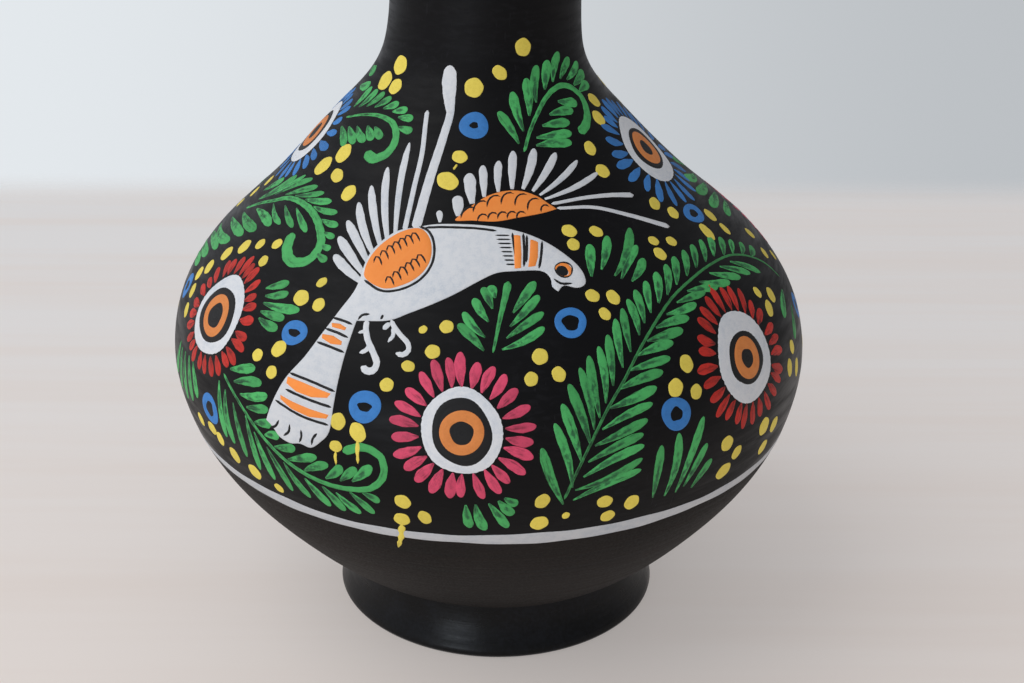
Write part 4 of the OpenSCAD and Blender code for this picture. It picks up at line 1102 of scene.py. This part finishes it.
bird = {
    "outline": [
        (-16, 138.4), (-11, 139.3), (-3, 139.5), (4, 139), (9, 138.1), (13, 136.8),
        (16.5, 135), (19.3, 132.8), (21.2, 130.6), (21.9, 128.6), (21.4, 126.8),
        (19.4, 126.2), (16.8, 126.9), (15.2, 125.9), (14.2, 127), (14.3, 128.6),
        (12.6, 130), (7, 130.2), (3, 129.9), (-1, 128.3), (-6, 125.7),
        (-10.5, 123.5), (-14, 121.8), (-17.5, 120.1), (-23.4, 119.2), (-23.9, 111),
        (-24.3, 101), (-24.8, 94), (-26.4, 90.6), (-28.2, 88.4), (-30.2, 88.7),
        (-32.2, 88), (-34.4, 88.9), (-35.6, 90.7), (-37.2, 92.2), (-36.2, 97),
        (-34.2, 104), (-31.4, 110), (-29.6, 115), (-27.6, 120.6), (-26, 125.4),
        (-26.2, 131), (-24.6, 134.4), (-21, 137.2)],
    "corners": (13, 24, 34),
    # root, tip, width
    "nearFeathers": [
        ((-25.6, 126.8), (-34.6, 130.5), 3.0), ((-26.4, 128.6), (-36, 134), 3.0),
        ((-26.2, 130.8), (-36, 137.4), 2.8), ((-25.6, 132.6), (-35.2, 141.5), 2.7),
        ((-24.6, 134.4), (-33.6, 145.4), 2.6), ((-23.2, 135.8), (-30.7, 149.8), 2.5),
        ((-21.4, 137), (-26.2, 155.6), 2.2), ((-13.5, 163.5), (-18.3, 173.8), 4.6)],
    "nearQuills": [
        ([(-19.2, 137.3), (-19.6, 146), (-20.2, 154), (-24, 162.8)], 1.6, 1.4),
        ([(-16.5, 137.9), (-15.4, 148), (-13.7, 158), (-13.2, 163), (-14.6, 167)], 3, 2.2)],
    "farFeathers": [
        ((-10.4, 139.6), (-11, 142), 1.9), ((-5.8, 141), (-6.4, 145.2), 3.4),
        ((-2, 143.6), (-3, 150), 3.6), ((1.4, 145), (1.3, 151.7), 2.5),
        ((5.6, 146), (6.8, 152.6), 2.4), ((9.8, 146.5), (12.2, 154.6), 2.6),
        ((13, 146.4), (20, 154.8), 2.7), ((15.8, 145.8), (27.6, 153.4), 2.4),
        ((17.6, 144.9), (34.5, 151.1), 1.9), ((18.8, 144), (40, 147.8), 1.8)],
    "farQuills": [
        ([(20.2, 142.9), (31, 143.2), (40, 142.6), (47.5, 141.4)], 1, 1.8),
        ([(21.4, 141.9), (32, 141), (42, 137.7), (51.6, 133.3)], 1, 2)],
    "shoulderPatch": [
        (-25.7, 129), (-24.6, 127.2), (-20, 125.9), (-16, 127.1), (-13.2, 129),
        (-11.6, 131.4), (-11.4, 134), (-12.4, 136.4), (-14.6, 138), (-17.4, 138),
        (-21, 136.6), (-24, 134.2), (-25.5, 131.6)],
    "wingPatch": [
        (-6.6, 140.1), (-4, 142.2), (-1, 143.9), (3, 145.5), (8, 146.3), (13, 146),
        (17, 144.7), (19.6, 143), (21.6, 141.7), (17, 141.1), (10, 140.5), (4, 139.9),
        (-2, 140.1)],
    "bars": [
        [(-28.3, 118), (-26.5, 118.2), (-24.8, 117.6), (-25, 116.9), (-27.8, 117.1)],
        [(-29.3, 115.5), (-27, 115.6), (-25, 114.8), (-24.9, 113.9), (-27, 113.7),
         (-29.1, 114.5)],
        [(-33.7, 104.8), (-30.5, 104.4), (-25, 103.3), (-25.6, 102), (-28.5, 101.3),
         (-31.5, 101.7), (-33.7, 103)],
        [(-34.6, 100), (-31.8, 99.2), (-28.5, 98.6), (-24.9, 98.2), (-25.4, 97),
         (-28.5, 96.4), (-32, 97.2), (-34.4, 98.8)],
        [(8.1, 137.3), (9.9, 137.1), (9.3, 133.4), (8.6, 130.7), (7, 130.6), (7.5, 134)],
        [(12, 136.3), (13.9, 135.6), (12.9, 132.6), (11.8, 130.9), (10, 130.8), (10.9, 133)]],
    "legs": [
        ([(-21.6, 119.8), (-21, 117.2), (-20, 115.2), (-18.8, 113.3), (-18, 111.4),
          (-18.3, 110), (-19.3, 109.6), (-20.6, 110.3)], 1.7, 2.2),
        ([(-20.9, 117.5), (-21.7, 117.4), (-22.5, 117)], 1.3, 0.7),
        ([(-19.9, 115), (-20.3, 113.8), (-21.4, 113.1)], 1.4, 1.1),
        ([(-17, 120.4), (-16, 119), (-14.3, 117.3), (-13, 115.9), (-12.9, 114.7),
          (-13.8, 113.8), (-15, 114)], 1.4, 1.6),
        ([(-17, 119.8), (-17.6, 119), (-18.1, 118.4)], 1.6, 1.5),
        ([(-16.4, 119.2), (-16, 117.5), (-16.7, 116)], 1.2, 1.1)],
    # place, outer radii, hole's radii and how far the hole is off the middle
    "eye": ((17.8, 129.9), (2.2, 2.1), (1.6, 1.5), (-0.6, -0.4)),
    # feather marks on the two patches: half width, height, turn, angles of the line's two ends,
    # coat, and the tops' places
    "marks": [
        (1.05, 3.2, 25, 0, 155, 2, [
            (-24, 131.7), (-23, 133), (-21.9, 134.1), (-20.7, 135), (-19.5, 135.8),
            (-18.2, 136.5), (-16.8, 137.1), (-19.9, 128.3), (-18.7, 129.4), (-17.6, 130.4),
            (-16.5, 131.3), (-15.4, 132.1), (-14.3, 133)]),
        (2.5, 3.4, 0, 180, 60, 1, [
            (-2.4, 142.9), (0.9, 144.2), (4.8, 145.3), (8.8, 145.8), (12.6, 145.4), (15.8, 144.3)]),
        (1.5, 2.1, 0, 180, 40, 1, [
            (18.2, 142.8), (0.9, 141.5), (3.6, 141.8), (6.2, 141.9), (8.7, 141.9), (11.2, 141.8)])],
    "penWidth": 0.72,
    # short lines above each other on the neck
    "hatch": {"lines": 8, "left": 5.3, "shorter": 0.27, "right": 7.4, "low": 131.5, "rise": 0.8},
    "penLines": [
        [(-28.4, 119), (-26, 118.8), (-24, 118.4)], [(-29, 116.6), (-26.5, 116.3), (-24.1, 115.7)],
        [(-29.8, 113.6), (-27, 113.2), (-24.1, 112.6)], [(-33.4, 105.6), (-29, 105), (-24.4, 103.9)],
        [(-33.6, 101.6), (-29, 100.7), (-24.7, 100.1)], [(-35.4, 98.2), (-30, 96.2), (-25, 95.6)],
        [(10.6, 137.4), (10, 134), (9.2, 131)], [(11.4, 137), (10.4, 133.4), (9.9, 131.8)],
        [(14.8, 135.6), (13.6, 132.8), (12.4, 130.5)], [(7.9, 137.6), (7.8, 134), (7.9, 131.2)],
        [(-34.4, 93.4), (-35, 91.6), (-36.2, 90.6)], [(-32.2, 93.2), (-32.3, 91.4), (-33.4, 89.6)],
        [(-30, 92.6), (-29.9, 90.8), (-30.3, 89.2)], [(-27, 92.8), (-27.8, 91), (-28, 89.4)],
        [(15, 128.4), (16, 127.5), (18.6, 127.2)],
        [(-23.2, 119.5), (-22.8, 120.4), (-21.3, 120.9)], [(-18.7, 121.1), (-18.9, 120.2)],
        [(-15.6, 138.4), (-13.4, 137.9), (-12, 136.7), (-10.9, 134.2), (-11.1, 131.1),
         (-12.8, 128.5), (-15.8, 126.5), (-20, 125.5), (-24.8, 127)],
        [(-14, 138.3), (-10.5, 138.6), (-6, 138.7), (-1, 138.6), (4, 138.1)]],
}


def arch(layer, side, top, half, high, turn, start, end, level):
    # part of an arch of thin line below its top place, turned by some degrees
    c, d = math.cos(turn * degree), math.sin(turn * degree)
    line = []
    for i in range(9):
        t = (start + (end - start) * i / 8) * degree
        x, y = half * math.cos(t), high * (math.sin(t) - 1)
        line.append(side(moved(top, x * c - y * d, x * d + y * c)))
    ribbon(layer, line, bird["penWidth"], bird["penWidth"], level, coat["fine"])


def buildFeathers(layer, side, feathers, quills, base, back, tint, quillTint):
    # back is the part of its own length that a feather reaches back at its root
    for root, tip, width in feathers:
        root = [a + (a - b) * back for a, b in zip(root, tip)]
        bend = 0.03
        stroke(layer, side(root), side(tip), width, 0.72, base, random.uniform(-bend, bend), tint)
    for line, start, end in quills:
        ribbon(layer, [side(p) for p in line], start, end, rough=0.02, tint=quillTint)


# each piece's node and paint
birdPieces = {
    "birdBody": ("bird_body", "white"),
    "birdNearFeathers": ("bird_near_feathers", "white"),
    "birdFarFeathers": ("bird_far_feathers", "white"),
    "birdShoulderPatch": ("bird_shoulder_patch", "orange"),
    "birdWingPatch": ("bird_wing_patch", "orange"),
    "birdBars": ("bird_bars", "orange"),
    "birdLegs": ("bird_legs", "white"),
    "birdEye": ("bird_eye", "orange"),
    "birdPenLines": ("bird_pen_lines", "black"),
    "birdScallops": ("bird_scallops", "black"),
}


def buildBirds():
    layers = {name: Coat() for name in birdPieces}
    body, near, far, shoulder, wing, bars, legs, eye, pen, scallops = layers.values()
    thin, hatch = bird["penWidth"], bird["hatch"]
    for side in bothSides:
        def across(line):
            return [side(p) for p in line]

        fill(body, across(bird["outline"]), bird["corners"], heading=0.1, tint=1.0)
        buildFeathers(near, side, bird["nearFeathers"], bird["nearQuills"],
                      base=0.45, back=0.1, tint=0.95, quillTint=0.96)
        buildFeathers(far, side, bird["farFeathers"], bird["farQuills"],
                      base=0.38, back=0, tint=0.93, quillTint=0.93)
        fill(shoulder, across(bird["shoulderPatch"]), level=1, heading=0.8)
        fill(wing, across(bird["wingPatch"]), (8,), heading=0.2)
        for bar in bird["bars"]:
            fill(bars, across(bar), range(len(bar)), level=1, grid=0.9, spacing=0.5)
        for line, start, end in bird["legs"]:
            ribbon(legs, across(line), start, end)
        place, outer, hole, shift = bird["eye"]
        flip = -1 if side is behind else 1
        ring(eye, side(place), outer, hole, level=1, rough=0.03, shift=(shift[0] * flip, shift[1]))
        pupil = moved(place, *shift)
        disc(pen, side(pupil), hole[0] + 0.1, hole[1] + 0.1, level=1, rough=0.04)
        rim = [[radius + more for radius in outer] for more in (0.3, -0.15)]
        ring(pen, side(place), *rim, level=1.4)
        for i in range(hatch["lines"]):
            left, right = hatch["left"] - i * hatch["shorter"], hatch["right"]
            low = hatch["low"] + i * hatch["rise"]
            line = [(left, low + 0.1), ((left + right) / 2, low + 0.05), (right, low)]
            ribbon(pen, across(line), thin, thin, 1, coat["fine"])
        for line in bird["penLines"]:
            ribbon(pen, across(line), thin, thin, 1.6, coat["fine"])
        for *shape, tops in bird["marks"]:
            for top in tops:
                arch(scallops, side, top, *shape)
    # the body's paint is darker towards the bottom of the tail, from 124 mm down to 110 mm and under
    body.tint = [np.interp(v[2] / mm, (110, 124), (0.92, 1.0)) for v in body.verts]
    for name, (node, shade) in birdPieces.items():
        layers[name].finish(name, node, shade)
    print("birds painted")


buildBirds()


room = {
    "tableNear": colour(205, 192, 183),
    "tableFar": colour(191, 192, 193),
    "grain": colour(190, 174, 163),
    # the table top's own glow: painted light that brightens the floor and lifts its shadows
    "tableGlow": 0.295,
    "edge": 0.46,          # m from the vase to the table's far edge
    "edgeSoft": 0.07,
    # the wall behind is painted lighter on the left and darker on the right: painted light from the window
    # side
    "wallLeft": colour(228, 233, 237),
    "wallRight": colour(188, 192, 196),
    "lightLeft": (0.66, 0.68, 0.72, 1.0),
    "lightRight": (0.30, 0.30, 0.31, 1.0),
}
# way to the lamp, its distance, size, power and colour
lamps = {
    "windowLeft": ((-0.58, -0.22, 0.79), 1.8, 1.8, 11, (1.0, 0.985, 0.96)),
    "frontFill": ((-0.46, -0.88, 0.03), 1.7, 0.6, 4.4, (0.82, 0.91, 1.0)),
}
camera = {
    "place": (0.0, -0.4053, 0.2561),
    "turn": 0.0112,
    "tilt": 0.4056,
    "roll": 0.008,
    "lens": 50,
}


def buildRoom():
    world = bpy.data.worlds.new("room")
    bpy.context.scene.world = world
    world.use_nodes = True
    air = NodeTree(world.node_tree)
    way = air.add("ShaderNodeTexCoord")
    seen = air.add("ShaderNodeLightPath")
    across = air.add("ShaderNodeSeparateXYZ", {}, {0: way})
    # the wall that the camera sees carries painted light, brighter to the left
    wallShade = air.mix(air.ease(across, -0.38, 0.38), room["wallLeft"], room["wallRight"])
    lightShade = air.mix(air.ease(across, -0.9, 0.9), room["lightLeft"], room["lightRight"])
    shown = air.mix(seen, lightShade, wallShade)
    air.tree.links.new(shown.socket, air.tree.nodes["Background"].inputs["Color"])

    far = room["edge"]
    mesh = bpy.data.meshes.new("tableTop")
    mesh.from_pydata([(-3, -3, 0), (3, -3, 0), (3, far, 0), (-3, far, 0)], [], [(0, 1, 2, 3)])
    # its emission is painted light, a glow that brightens the table and lifts the vase's shadow
    finish = Finish("paleTable", Roughness=0.6, Specular_IOR_Level=0.3,
                    Emission_Color=(1.0, 0.94, 0.908, 1.0), Emission_Strength=room["tableGlow"])
    place = finish.coords()
    grain = finish.noise(finish.stretched(place, (1.2, 26, 1)), 1.0, 4, 0.6)
    deep = finish.add("ShaderNodeSeparateXYZ", {}, {0: place}, output=1)
    wood = finish.mix(finish.ease(deep, -0.25, 0.35), room["tableNear"], room["tableFar"])
    wood = finish.mix(finish.ease(grain, 0.35, 0.7) * 0.45, wood, room["grain"])
    finish.feed("Base Color", wood)
    finish.feed("Alpha", 1 - finish.ease(deep, far - room["edgeSoft"], far))
    mesh.materials.append(finish.material)
    table = bpy.data.objects.new("tableTop", mesh)
    bpy.context.scene.collection.objects.link(table)
    table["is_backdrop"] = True

    low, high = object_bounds()
    middle = (low + high) / 2
    for name, (way, distance, size, power, tone) in lamps.items():
        lamp = bpy.data.lights.new(name, "AREA")
        lamp.shape = "DISK"
        lamp.size = size
        lamp.energy = power
        lamp.color = tone
        holder = bpy.data.objects.new(name, lamp)
        bpy.context.scene.collection.objects.link(holder)
        way = Vector(way).normalized()
        holder.location = middle + way * distance
        holder.rotation_mode = "QUATERNION"
        holder.rotation_quaternion = way.to_track_quat("Z", "Y")


def buildCamera():
    turn, tilt, roll = camera["turn"], camera["tilt"], camera["roll"]
    ahead = Vector((math.sin(turn) * math.cos(tilt), math.cos(turn) * math.cos(tilt), -math.sin(tilt)))
    right = Vector((math.cos(turn), -math.sin(turn), 0))
    up = right.cross(ahead)
    across = right * math.cos(roll) + up * math.sin(roll)
    upward = up * math.cos(roll) - right * math.sin(roll)
    data = bpy.data.cameras.new("frontCamera")
    data.lens = camera["lens"]
    data.sensor_width = 36
    data.clip_start = 0.01
    holder = bpy.data.objects.new("frontCamera", data)
    holder.matrix_world = Matrix((
        (across.x, upward.x, -ahead.x, camera["place"][0]),
        (across.y, upward.y, -ahead.y, camera["place"][1]),
        (across.z, upward.z, -ahead.z, camera["place"][2]),
        (0, 0, 0, 1)))
    bpy.context.scene.collection.objects.link(holder)
    bpy.context.scene.camera = holder


buildRoom()
buildCamera()
bpy.context.scene.view_settings.view_transform = "Standard"

print("table, lights and camera set")
